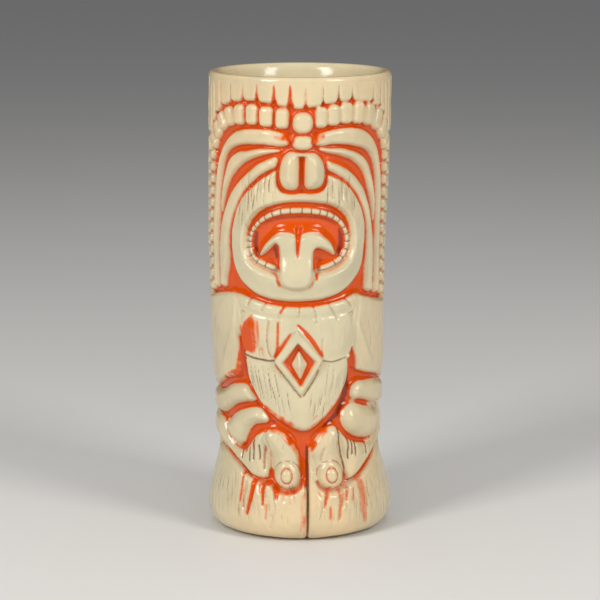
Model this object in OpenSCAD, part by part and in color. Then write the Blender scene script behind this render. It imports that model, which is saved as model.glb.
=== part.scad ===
// Carved-figure drinking mug: a hollow cup with a squatting figure modelled on it in relief.
// Units are millimetres. +Z is up, the figure faces -Y, and the origin is the centre of the foot.
// Relief outlines are lists of [degrees round from the front, height on the drawing board].
// The drawing board is as tall as board_h, and up() stretches it to the height of the mug.

/* [Cup] */
// Overall height of the mug
mug_h = 165; // [140:1:200]
// Outside diameter at the mouth
mouth_d = 65; // [54:1:80]
// Thickness of the bare cup's wall, under the relief
wall = 2.8; // [2:0.1:4]
// Thickness of the cup's floor
floor_t = 5; // [3.5:0.1:8]
// Radius that rounds the lip over
lip_r = 2.3; // [1.5:0.1:2.6]
// Height of the plain lip above the relief
lip_h = 2.6; // [2.4:0.1:6]
// Width of the unglazed ring that the mug stands on
foot_w = 5.5; // [3:0.1:9]
// Depth of the hollow inside the foot ring
foot_hollow = 1.2; // [0.5:0.1:2.5]
// Depth of the mouth's hollow below the cup's outside
mouth_hollow = 1; // [0.4:0.1:1.4]

/* [Relief] */
// Depth of the grooves between the members, which is the least rise of any member
groove_depth = 2.2; // [1.2:0.1:3]
// Extra rise at the middle of the broad members
swell = 0.9; // [0:0.1:2]
// Rise of the nose over the cup
nose_rise = 4.6; // [3:0.1:6]
// Rise of the tongue over the cup
tongue_rise = 4.4; // [3.4:0.1:6]
// Rise of the knees over the cup
knee_rise = 6.2; // [4:0.1:7]
// Height that the legs' undersides stand clear of the surface under the foot
leg_lift = 0.7; // [0.3:0.1:2]
// Depth of the rings that are let into the knees
inlay_depth = 1.6; // [0.8:0.1:2]
// How far the diamond's frame stands proud of the torso
frame_rise = 0.3; // [0:0.1:1]
// How far the diamond's gem lies back from its frame
gem_drop = 0.8; // [0.3:0.1:1.5]

/* [Counts] */
// Number of feathers round the crown
feather_count = 36; // [24:1:48]
// Number of beads in each half of the brow
bead_count = 16; // [10:1:22]
// Number of teeth in each half of the mouth
tooth_count = 13; // [9:1:16]
// Number of locks of hair down the back
lock_count = 17; // [9:2:25]

/* [Placing] */
// Turn of the face about the cup's axis, in degrees
face_turn = 0.7; // [-3:0.1:3]
// Turn of the torso and arms, in degrees
torso_turn = 1.5; // [-3:0.1:4]
// Turn of the knees and legs, in degrees
leg_turn = 5; // [-3:0.1:7]

/* [Hidden] */

$fn = 64;
board_h = 165;
mouth_r = mouth_d / 2;
mm_per_deg = mouth_r * PI / 180;
reach = mouth_r * 1.6;
core_r = mouth_r * 0.6;
clay = "wheat";
stain = "orangered";

// Rise of some members over the figure's envelope, where a negative one lies back from it.
bead_rise = 0.2;
torso_rise = 0.2;
collar_rise = -0.6;
cuff_rise = -0.3;

// A bend of the envelope that is nearer than this to a member's end is left out of the member.
bend_clear = 0.3;
// Where the inside turns to the floor: the height that its radius follows, and its corner in wall thicknesses.
corner_height = 12;
corner_in = 2.4;
corner_out = 1.3;

// Height on the mug of a height on the drawing board.
function up(v) = v * mug_h / board_h;

// The figure's envelope, foot to lip: [height on the board, drop in from the mouth's radius].
body_drops = [
    [0, 5.2], [1.2, 2.6], [3.5, 0.4], [7, -0.5], [12, -0.1], [17, 0.9], [21, 1.9], [26, 3.2], [30, 3.8],
    [36, 2.9], [41, 2.6], [50, 2.6], [58, 2], [68, 1.6], [85, 1.1], [105, 0.7], [130, 0.2],
    [150, 0], [165, 0],
];
function body_r(v) = mouth_r - lookup(v, body_drops);

// The bare cup's outside, which is the floor of the grooves between the members.
function seat_r(v) = body_r(v) - groove_depth;

// Heights where the envelope bends, between two heights and with both of them.
function bends(low, high) = concat(
    [low], [for (p = body_drops) if (p.x > low + bend_clear && p.x < high - bend_clear) p.x], [high]
);

// Heights between low and high, for a profile that bends at each one.
function steps(low, high, count) = [for (i = [0:count]) low + (high - low) * i / count];

// The same outline on the figure's other side.
function mirrored(outline) = [for (p = outline) [-p.x, p.y]];
// An outline whose second half is its first half mirrored.
function both_halves(half) = concat(half, [for (i = [len(half) - 1:-1:0]) [-half[i].x, half[i].y]]);
function lowest(outline) = min([for (p = outline) p.y]);
function highest(outline) = max([for (p = outline) p.y]);
function centre_of(outline) = [middle(outline), (lowest(outline) + highest(outline)) / 2];
function middle(outline) = (max([for (p = outline) p.x]) + min([for (p = outline) p.x])) / 2;

// The outline pushed outwards from its centre by a gap in millimetres.
function grown(outline, gap) =
    let (c = centre_of(outline))
    [for (p = outline)
        let (d = [(p.x - c.x) * mm_per_deg, p.y - c.y])
        p + gap / norm(d) * [d.x / mm_per_deg, d.y]];

// An ellipse on the board: half_w is in degrees, and half_h is in board millimetres.
function oval(centre, half_w, half_h, sides = 28) =
    [for (i = [0:sides - 1]) centre + [half_w * cos(360 * i / sides), half_h * sin(360 * i / sides)]];

// The point and direction a share of the way along a path of [degrees, height] points.
function piece_lengths(path) = [
    for (i = [0:len(path) - 2]) norm([(path[i + 1].x - path[i].x) * mm_per_deg, path[i + 1].y - path[i].y])
];
function sum_to(list, n) = n <= 0 ? 0 : list[n - 1] + sum_to(list, n - 1);
function path_length(path) = sum_to(piece_lengths(path), len(path) - 1);
function piece_at(lengths, d, i = 0) =
    i >= len(lengths) - 1 || d <= lengths[i] ? [i, d / lengths[i]] : piece_at(lengths, d - lengths[i], i + 1);
function along(path, share) =
    let (lengths = piece_lengths(path), at = piece_at(lengths, share * sum_to(lengths, len(lengths))), i = at.x)
    path[i] + at.y * (path[i + 1] - path[i]);
function lean(path, share) =
    let (a = along(path, max(0, share - 0.02)), b = along(path, min(1, share + 0.02)))
    atan2(b.y - a.y, (b.x - a.x) * mm_per_deg);

// ---- Outlines, right half of the figure, on the board ----
outer_arch = [
    [9, 142.2], [9, 146], [20, 147.3], [35, 147.7], [45, 147], [53, 144.8], [60, 141], [65, 136],
    [68, 128], [69.5, 115], [70.5, 100], [71, 91], [62, 91], [61.5, 100], [61.5, 110], [60.5, 120],
    [58.5, 128], [54.5, 134], [49, 138.5], [42, 141.2], [30, 142.2],
];
middle_arch = [
    [10, 139.3], [11, 140.1], [20, 140.3], [30, 139.8], [40, 138], [47, 135], [52, 130.5], [55.5, 124.5],
    [57.5, 117], [55.5, 118], [52, 123.5], [47.5, 128.5], [41, 133], [33, 136], [24, 138],
];
inner_arch = [
    [16, 133.6], [16, 136.4], [22, 135.2], [30, 132.4], [38, 128.3], [45, 122.6], [50, 117], [54.5, 110.5],
    [57.5, 104], [58, 97], [57, 91], [48.5, 91], [49.5, 97], [51.5, 104], [50.5, 110.5], [47, 116],
    [41, 121.6], [34, 126.3], [26, 130.2],
];
muzzle_half = [
    [0, 126], [10, 125.9], [15, 127.6], [16.5, 131.6], [20, 130.8], [27, 127.8], [34, 124], [41, 119],
    [46, 113], [48, 107.5], [47, 102], [43.5, 97], [38, 92.9], [30, 89.3], [20, 87.2], [10, 86.2], [0, 86],
];
mouth_half = [
    [0, 122.2], [10, 121.8], [20, 120], [27, 117.4], [32, 113.8], [35, 109.5], [35, 105.5], [32.5, 102],
    [27, 99.7], [20, 98.2], [12, 97.5], [0, 97.4],
];
teeth_path = [
    [1.5, 119.9], [10, 119.6], [17, 118.5], [24, 116.6], [30, 113.4], [33, 109.5], [33.2, 105.8], [31, 103],
    [26, 101], [20, 99.6], [15.5, 98.9],
];
tongue_half = [
    [0, 110.5], [4, 111.8], [9, 112.6], [15, 112], [20, 109.7], [24, 106.2], [25.4, 103.2], [21, 104],
    [16, 106.4], [12.6, 107.4], [11.6, 104], [11.2, 98], [10.4, 94], [8, 91.6], [4, 90.6], [0, 90.4],
];
nostril = [
    [1.8, 131], [1.8, 137], [3.6, 138.9], [8, 139.2], [12.2, 137.2], [14.4, 133.4], [14.2, 129.6],
    [11.6, 127.5], [6, 127], [2.6, 128],
];
bead_path = [
    [9.5, 151.8], [30, 152.6], [40, 152.7], [50, 151.6], [58, 149], [65, 144.8], [71, 138.5], [75, 129],
    [76.5, 118], [76.8, 105], [76.8, 92],
];
collar_half = [
    [0, 84.6], [12, 84.9], [22, 86], [31, 88], [37, 90.4], [41.5, 90.2], [41, 84.6], [37, 82.7], [25, 81.6],
    [12, 81.2], [0, 81],
];
chest_half = [
    [0, 80], [12, 80.2], [25, 80.6], [36, 81.4], [39.5, 77.5], [41, 71], [40.5, 66.2], [28, 65.6], [0, 65.2],
];
belly_half = [
    [0, 64.4], [28, 64.8], [40, 65.4], [39, 59], [34, 54.4], [26, 48.8], [18, 44.8], [9, 42], [0, 40.4],
];
diamond_top = [0.5, 77.2];
diamond_half_w = 16.8;
diamond_half_h = 11.9;
frame_share = 0.66;
gem_share = 0.36;
// The chest and the belly leave this much more than the diamond.
diamond_fit = 1.06;
sleeve = [
    [45.5, 89.4], [55, 89], [70, 87.8], [85, 86.4], [97, 85.8], [97, 53.2], [85, 53.8], [75, 55.2], [60, 58],
    [46.5, 60.6], [45, 66], [45, 72], [44, 78], [43, 81], [45.2, 84.6],
];
cuff = [
    [43, 58.6], [60, 55.9], [75, 53.2], [85, 51.8], [97, 51.2], [97, 44], [85, 44.6], [75, 46], [60, 47.9],
    [48, 49.6], [34.5, 50.4], [38, 53.8],
];
fist = [
    [23, 44.4], [30, 48.4], [40, 47.6], [50, 45.7], [60, 43.2], [67, 40.8], [64, 37.2], [57, 34.9], [49, 34],
    [44, 35.2], [40, 38.2], [35, 40.8], [28, 42.2],
];
thigh = [
    [31, 21.4], [26, 30], [26, 38.2], [33, 39.2], [38, 36.9], [42.5, 33.9], [49, 32.6], [57.5, 33.4],
    [65.5, 36], [70, 40.6], [80, 42.4], [97, 42.4], [97, 31.6], [80, 30.4], [65, 28.4], [50, 25.2], [41, 22.9],
];
knee_centre = [15.5, 24.4];
knee = [
    [2.6, 32], [5, 35.6], [10, 38.8], [16, 40.2], [22, 40], [26.5, 37.8], [28.2, 33], [27.6, 28], [24.6, 22.6],
    [20.6, 19.6], [15.5, 18.8], [10.6, 19.8], [7.4, 23], [5, 28],
];
// Top of the legs, under the knee and the thigh.
leg_top = [
    [-12, 33], [6, 31.5], [18, 18], [26, 19.7], [33, 20.2], [41, 21.5], [50, 23.8], [65, 27], [80, 29], [100, 30.2],
];
// The front of the figure ends at front_edge, and the back starts at back_edge, in degrees from the front.
front_edge = 97;
back_edge = 99;
// Half the angle of the cleft between the legs.
cleft_half = 1;
// Groove that a thigh or a leg leaves round a fist or a knee.
limb_gap = 1.1;
// Lowest and highest edge of the panel on the back.
back_low = 32;
back_high = 86;

// Share of its pitch that a feather or a lock of hair fills, and how far its end comes to a point.
fill = 0.88;
point = 1.6;
// Locks of hair: degrees that they cover across the back, and the heights that they run between.
lock_span = 196;
lock_low = 91;
lock_high = 142;

// Beads on the brow: half their height at the front and at the side, and the share of the pitch they fill.
bead_half_front = 3.6;
bead_half_side = 2.3;
bead_fill = 0.84;
// Beads on the forehead: height of the middle, half the width in degrees, half the height.
upper_bead = [150.2, 6.4, 3.6];
lower_bead = [143.3, 6.6, 2.6];

// A tooth's height, and the share of its pitch that it fills.
tooth_len = 1.5;
tooth_fill = 0.8;

// Rings in the knees, outer and inner: half the width in degrees, half the height on the board.
ring_outer = [4.5, 3];
ring_inner = [2.8, 1.9];

// ---- Building blocks ----

// The bare cup as a solid, with no inside but with the mouth's hollow.
module cup_blank() {
    difference() {
        rotate_extrude($fn = 128)
            polygon(concat([[0, 0]], [for (p = body_drops) [seat_r(p.x), up(p.x)]], [[0, mug_h]]));
        mouth_cutter();
    }
}

// The hollow that the teeth and the tongue stand in.
module mouth_cutter() {
    difference() {
        prism(both_halves(mouth_half));
        cylinder(r = seat_r(centre_of(mouth_half).y) - mouth_hollow, h = mug_h, $fn = 128);
    }
}

// A layer round the cup whose outside stands `rise` proud of the envelope and swells at mid-height.
module layer(low, high, rise, middle_swell) {
    heights = middle_swell > 0 ? steps(low, high, 8) : bends(low, high);
    rotate_extrude($fn = 128)
        polygon(concat(
            [[core_r, up(low)]],
            [for (v = heights)
                [body_r(v) + rise + middle_swell * sin(180 * (v - low) / (high - low)), up(v)]],
            [[core_r, up(high)]]
        ));
}

// The outline pushed straight through the front of the cup, square to the outline's middle.
module prism(outline) {
    turn = middle(outline);
    rotate([0, 0, turn]) rotate([90, 0, 0])
        linear_extrude(height = reach)
            polygon([for (p = outline) [(body_r(p.y) - groove_depth / 2) * sin(p.x - turn), up(p.y)]]);
}

// Everything between two angles from the front, with sides that run straight to the axis.
module sector(from, to) {
    linear_extrude(height = mug_h)
        polygon(concat([[0, 0]], [for (a = steps(from, to, 8)) reach * [sin(a), -cos(a)]]));
}

// A relief member: its outline, standing on the cup. rise is counted from the figure's envelope.
module member(outline, rise = 0, middle_swell = 0) {
    difference() {
        intersection() {
            layer(lowest(outline), highest(outline), rise, middle_swell);
            prism(outline);
        }
        cup_blank();
    }
}

module on_face() {
    rotate([0, 0, face_turn]) children();
}

module on_torso() {
    rotate([0, 0, torso_turn]) children();
}

module on_legs() {
    rotate([0, 0, leg_turn]) children();
}

// ---- The cup ----
module cup() {
    inner_lip_r = seat_r(board_h) - wall;
    color(clay)
    difference() {
        union() {
            on_face() cup_blank();
            // The lip: a ring as wide as the figure, with its outer edge rounded over
            rotate_extrude($fn = 128) {
                translate([core_r, mug_h - lip_h]) square([mouth_r - core_r, lip_h - lip_r]);
                translate([core_r, mug_h - lip_h]) square([mouth_r - lip_r - core_r, lip_h]);
                translate([mouth_r - lip_r, mug_h - lip_r]) intersection() {
                    circle(r = lip_r, $fn = 48);
                    square(lip_r);
                }
            }
        }
        // The inside follows the outside at one wall's thickness
        rotate_extrude($fn = 128)
            polygon(concat(
                [[0, floor_t], [seat_r(corner_height) - wall * corner_in, floor_t],
                 [seat_r(corner_height) - wall * corner_out, floor_t + wall]],
                [for (p = body_drops) if (up(p.x) > floor_t + wall * 2) [seat_r(p.x) - wall, up(p.x)]],
                [[inner_lip_r, mug_h + 1], [0, mug_h + 1]]
            ));
        // The hollow inside the foot ring
        translate([0, 0, -1]) cylinder(r = seat_r(0) - foot_w, h = foot_hollow + 1, $fn = 96);
    }
}

// ---- Crown and brow ----

// Height of the feathers' tips at an angle from the front.
feather_tips = [
    [0, 155.6], [12, 156.8], [30, 158], [42, 157.8], [52, 156.6], [60, 154.6], [67, 151.6], [73, 148],
    [78, 145], [82, 145], [180, 145],
];

module crown_feathers() {
    pitch = 360 / feather_count;
    half = pitch * fill / 2;
    top = board_h - lip_h * board_h / mug_h;
    color(clay) on_face() for (i = [0:feather_count - 1]) {
        turn = (i + 0.5) * pitch - 180;
        tip = lookup(abs(turn), feather_tips);
        member([
            [turn - half, top], [turn + half, top], [turn + half, tip + point],
            [turn + half / 2, tip + point / 4], [turn, tip], [turn - half / 2, tip + point / 4],
            [turn - half, tip + point],
        ]);
    }
}

// One half of the beaded brow: rounded tabs across a path that turns down the side of the face.
module brow_beads(side) {
    half_along = path_length(bead_path) / bead_count * bead_fill / 2;
    corners = [
        [-0.55, 1], [0.55, 1], [1, 0.6], [1, -0.6], [0.55, -1], [-0.55, -1], [-1, -0.6], [-1, 0.6],
    ];
    color(clay) on_face() for (i = [0:bead_count - 1]) {
        share = (i + 0.5) / bead_count;
        at = along(bead_path, share);
        tilt = lean(bead_path, share);
        half_across = bead_half_front + (bead_half_side - bead_half_front) * share;
        member([
            for (c = corners)
                let (a = c.x * half_along, b = c.y * half_across)
                [side * (at.x + (a * cos(tilt) - b * sin(tilt)) / mm_per_deg),
                 at.y + a * sin(tilt) + b * cos(tilt)]
        ]);
    }
}

module forehead_bead(bead) {
    color(clay) on_face() member(oval([0, bead[0]], bead[1], bead[2]), bead_rise, swell);
}

module nostril_lobe(side) {
    outline = side > 0 ? nostril : mirrored(nostril);
    color(clay) on_face() member(outline, nose_rise - groove_depth - swell, swell);
}

module arch(outline, side) {
    color(clay) on_face() member(side > 0 ? outline : mirrored(outline));
}

// ---- Mouth ----
module muzzle() {
    color(clay) on_face() difference() {
        member(both_halves(muzzle_half), 0, swell * 2);
        prism(both_halves(mouth_half));
        prism(both_halves(tongue_half));
    }
}

module teeth(side) {
    depth = mouth_hollow + groove_depth;
    width = path_length(teeth_path) / tooth_count * tooth_fill;
    color(clay) on_face() difference() {
        for (i = [0:tooth_count - 1]) {
            share = (i + 0.5) / tooth_count;
            at = along(teeth_path, share);
            rotate([0, 0, side * at.x])
                translate([0, 0, up(at.y)])
                    rotate([0, side * -lean(teeth_path, share), 0])
                        translate([-width / 2, -seat_r(at.y) - groove_depth / 2, -tooth_len / 2])
                            cube([width, depth, tooth_len]);
        }
        cup_blank();
    }
}

module tongue() {
    color(clay) on_face() member(both_halves(tongue_half), tongue_rise - groove_depth - swell, swell);
}

// ---- Torso ----
function diamond(share) =
    let (c = diamond_top - [0, diamond_half_h], w = diamond_half_w * share, h = diamond_half_h * share)
    [c + [0, h], c + [w, 0], c - [0, h], c - [w, 0]];

module collar() {
    color(clay) on_torso() member(both_halves(collar_half), collar_rise);
}

module chest() {
    color(clay) on_torso() difference() {
        member(both_halves(chest_half), torso_rise, swell / 2);
        prism(diamond(diamond_fit));
    }
}

module belly() {
    color(clay) on_torso() difference() {
        member(both_halves(belly_half), torso_rise, swell);
        prism(diamond(diamond_fit));
    }
}

module diamond_frame() {
    color(clay) on_torso() difference() {
        member(diamond(1), swell + frame_rise);
        prism(diamond(frame_share));
    }
}

module diamond_gem() {
    color(clay) on_torso() member(diamond(gem_share), swell + frame_rise - gem_drop);
}

// ---- Arms ----
module sleeve_part(side) {
    color(clay) on_torso() member(side > 0 ? sleeve : mirrored(sleeve), 0, swell / 2);
}

module cuff_part(side) {
    color(clay) on_torso() member(side > 0 ? cuff : mirrored(cuff), cuff_rise, swell);
}

module fist_part(side) {
    color(clay) on_torso() member(side > 0 ? fist : mirrored(fist), 0, swell * 2);
}

// ---- Legs ----
module thigh_part(side) {
    // The thigh stops a groove short of the fist and the knee
    color(clay)
    difference() {
        on_torso() member(side > 0 ? thigh : mirrored(thigh), 0, swell / 2);
        on_torso() prism(grown(side > 0 ? fist : mirrored(fist), limb_gap));
        on_legs() prism(grown(side > 0 ? knee : mirrored(knee), limb_gap));
    }
}

module knee_part(side) {
    color(clay) on_legs() difference() {
        member(side > 0 ? knee : mirrored(knee), knee_rise - groove_depth - swell, swell);
        knee_ring_cutter(side);
    }
}

// The ring let into the end of a knee.
module knee_ring_cutter(side) {
    centre = [side * knee_centre.x, knee_centre.y];
    difference() {
        prism(oval(centre, ring_outer.x, ring_outer.y));
        prism(oval(centre, ring_inner.x, ring_inner.y));
        layer(centre.y - ring_outer.y - 1, centre.y + ring_outer.y + 1, knee_rise - groove_depth - inlay_depth, 0);
    }
}

module knee_ring(side) {
    color(stain) on_legs() intersection() {
        knee_ring_cutter(side);
        member(side > 0 ? knee : mirrored(knee), knee_rise - groove_depth - swell, swell * 0.8);
    }
}

module above_foot() {
    translate([-reach, -reach, leg_lift]) cube([reach * 2, reach * 2, mug_h]);
}

// A front leg, from the cleft to the side of the mug. The cleft turns with the knees.
module leg_part(side) {
    crest = leg_top[0].y + 1;
    over = concat(leg_top, [[leg_top[len(leg_top) - 1].x, crest], [leg_top[0].x, crest]]);
    inner = leg_turn - torso_turn + side * cleft_half;
    outer = side * front_edge;
    color(clay) difference() {
        on_torso() intersection() {
            layer(0, leg_top[0].y, 0, 0);
            sector(min(inner, outer), max(inner, outer));
            above_foot();
        }
        cup_blank();
        on_torso() prism(side > 0 ? over : mirrored(over));
        on_legs() prism(grown(side > 0 ? knee : mirrored(knee), limb_gap));
    }
}

module leg_back() {
    // The legs' rear, between the two front blocks
    color(clay) on_torso() difference() {
        intersection() {
            layer(0, leg_top[len(leg_top) - 1].y, 0, 0);
            sector(back_edge, 360 - back_edge);
            above_foot();
        }
        cup_blank();
    }
}

// ---- Back ----
module hair_locks() {
    // Long locks from the crown to the shoulders, across the back
    pitch = lock_span / lock_count;
    half = pitch * fill / 2;
    color(clay) on_face() for (i = [0:lock_count - 1]) {
        turn = 180 + (i - (lock_count - 1) / 2) * pitch;
        member([
            [turn - half, lock_low], [turn - half, lock_high], [turn, lock_high + point],
            [turn + half, lock_high], [turn + half, lock_low], [turn, lock_low - point],
        ]);
    }
}

module back_panel() {
    color(clay) on_torso() difference() {
        intersection() {
            layer(back_low, back_high, 0, 0);
            sector(back_edge, 360 - back_edge);
        }
        cup_blank();
    }
}

cup();
crown_feathers();
brow_beads(-1);  // brow_beads_left
brow_beads(1);  // brow_beads_right
forehead_bead(upper_bead);  // forehead_bead_upper
forehead_bead(lower_bead);  // forehead_bead_lower
nostril_lobe(-1);  // nostril_left
nostril_lobe(1);  // nostril_right
arch(outer_arch, -1);  // outer_arch_left
arch(outer_arch, 1);  // outer_arch_right
arch(middle_arch, -1);  // middle_arch_left
arch(middle_arch, 1);  // middle_arch_right
arch(inner_arch, -1);  // inner_arch_left
arch(inner_arch, 1);  // inner_arch_right
muzzle();
teeth(-1);  // teeth_left
teeth(1);  // teeth_right
tongue();
collar();
chest();
belly();
diamond_frame();
diamond_gem();
sleeve_part(-1);  // sleeve_left
sleeve_part(1);  // sleeve_right
cuff_part(-1);  // cuff_left
cuff_part(1);  // cuff_right
fist_part(-1);  // fist_left
fist_part(1);  // fist_right
thigh_part(-1);  // thigh_left
thigh_part(1);  // thigh_right
knee_part(-1);  // knee_left
knee_part(1);  // knee_right
knee_ring(-1);  // knee_ring_left
knee_ring(1);  // knee_ring_right
leg_part(-1);  // leg_left
leg_part(1);  // leg_right
leg_back();
hair_locks();
back_panel();
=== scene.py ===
"""A drinking mug with a squatting figure in relief.

The outside is one fine sheet of clay: laid out flat, carved, rolled round the cup, and cut
into the members of the figure. Lengths are in millimetres until a mesh is written, and angles
run round the mug from its front, positive towards +X.
"""
import logging
import math
from dataclasses import dataclass, field
from enum import Enum

import bpy
import numpy as np
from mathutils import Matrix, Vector


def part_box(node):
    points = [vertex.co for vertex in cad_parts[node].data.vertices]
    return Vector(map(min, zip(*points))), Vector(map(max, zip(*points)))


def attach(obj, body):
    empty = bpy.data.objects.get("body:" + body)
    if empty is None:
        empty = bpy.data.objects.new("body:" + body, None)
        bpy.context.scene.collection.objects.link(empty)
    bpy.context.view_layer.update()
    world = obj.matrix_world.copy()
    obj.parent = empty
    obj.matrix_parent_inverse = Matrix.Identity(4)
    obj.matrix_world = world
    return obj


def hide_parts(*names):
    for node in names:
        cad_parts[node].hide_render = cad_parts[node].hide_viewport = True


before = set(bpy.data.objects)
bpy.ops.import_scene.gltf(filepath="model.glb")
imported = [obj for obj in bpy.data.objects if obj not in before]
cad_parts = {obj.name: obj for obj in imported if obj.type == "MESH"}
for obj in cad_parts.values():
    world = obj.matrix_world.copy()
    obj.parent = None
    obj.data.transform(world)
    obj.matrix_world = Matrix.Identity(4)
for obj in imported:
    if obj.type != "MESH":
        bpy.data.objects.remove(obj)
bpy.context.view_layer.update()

LOG = logging.getLogger("mug")

MM = 0.001
CUP_LOW, CUP_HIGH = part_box("cup")
MUG_H = (CUP_HIGH.z - CUP_LOW.z) / MM
MOUTH_R = (CUP_HIGH.x - CUP_LOW.x) / 2 / MM
DEG = MOUTH_R * math.pi / 180

OUTSIDE = -9.0  # a distance that is well outside every member
ROUNDING = 2.2  # how square the rounded shoulders are
WELD = 1e-6  # metres between points that are the same point

Points = tuple[tuple[float, ...], ...]


class Side(Enum):
    """The figure's sides, as it is looked at from the front."""

    LEFT = -1
    RIGHT = 1

    @property
    def word(self) -> str:
        """The side's name at the end of a member's name."""
        return self.name.lower()


def read(items: bpy.types.bpy_prop_collection, key: str, wide: int = 1,
         kind: type = np.float32) -> np.ndarray:
    """Read one property of every item in a collection.

    Args:
        items: such as a mesh's vertices.
        key: the property's name.
        wide: how many numbers each item has.
        kind: the numbers' type.
    Returns:
        One row for each item, or a flat array where each has one number.
    """
    out = np.empty(len(items) * wide, kind)
    items.foreach_get(key, out)
    return out.reshape(-1, wide) if wide > 1 else out


def store(me: bpy.types.Mesh, key: str, data: np.ndarray, domain: str = "POINT",
          kind: str = "FLOAT") -> None:
    """Store new values on a mesh.

    Args:
        me: the mesh.
        key: what the values are called.
        data: one value or vector for every point or face.
        domain: POINT or FACE.
        kind: FLOAT, FLOAT_VECTOR or INT.
    """
    number = np.int32 if kind == "INT" else np.float32
    slot = "vector" if kind == "FLOAT_VECTOR" else "value"
    me.attributes.new(key, kind, domain).data.foreach_set(slot, data.astype(number).ravel())


def smooth_step(t: np.ndarray) -> np.ndarray:
    """Ease from 0 to 1.

    Args:
        t: values that are clipped to 0..1.
    Returns:
        The eased values.
    """
    t = np.clip(t, 0, 1)
    return t * t * (3 - 2 * t)


def rounded(points: Points, closed: bool, per: int = 5) -> np.ndarray:
    """Run a smooth line through given points.

    Args:
        points: rows of degrees, height and any further values.
        closed: whether the line comes back to its start.
        per: steps between two points.
    Returns:
        The dense line, with degrees turned into millimetres.
    """
    p = np.array(points, float)
    p[:, 0] *= DEG
    n = len(p)
    out = []
    for i in range(n if closed else n - 1):
        if closed:
            a, b, c, d = p[i - 1], p[i], p[(i + 1) % n], p[(i + 2) % n]
        else:
            b, c = p[i], p[i + 1]
            a, d = p[max(i - 1, 0)], p[min(i + 2, n - 1)]
        for k in range(per):
            t = k / per
            out.append(0.5 * (2 * b + (c - a) * t + (2 * a - 5 * b + 4 * c - d) * t**2
                              + (3 * b - a - 3 * c + d) * t**3))
    if not closed:
        out.append(p[-1])
    return np.array(out)


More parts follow.
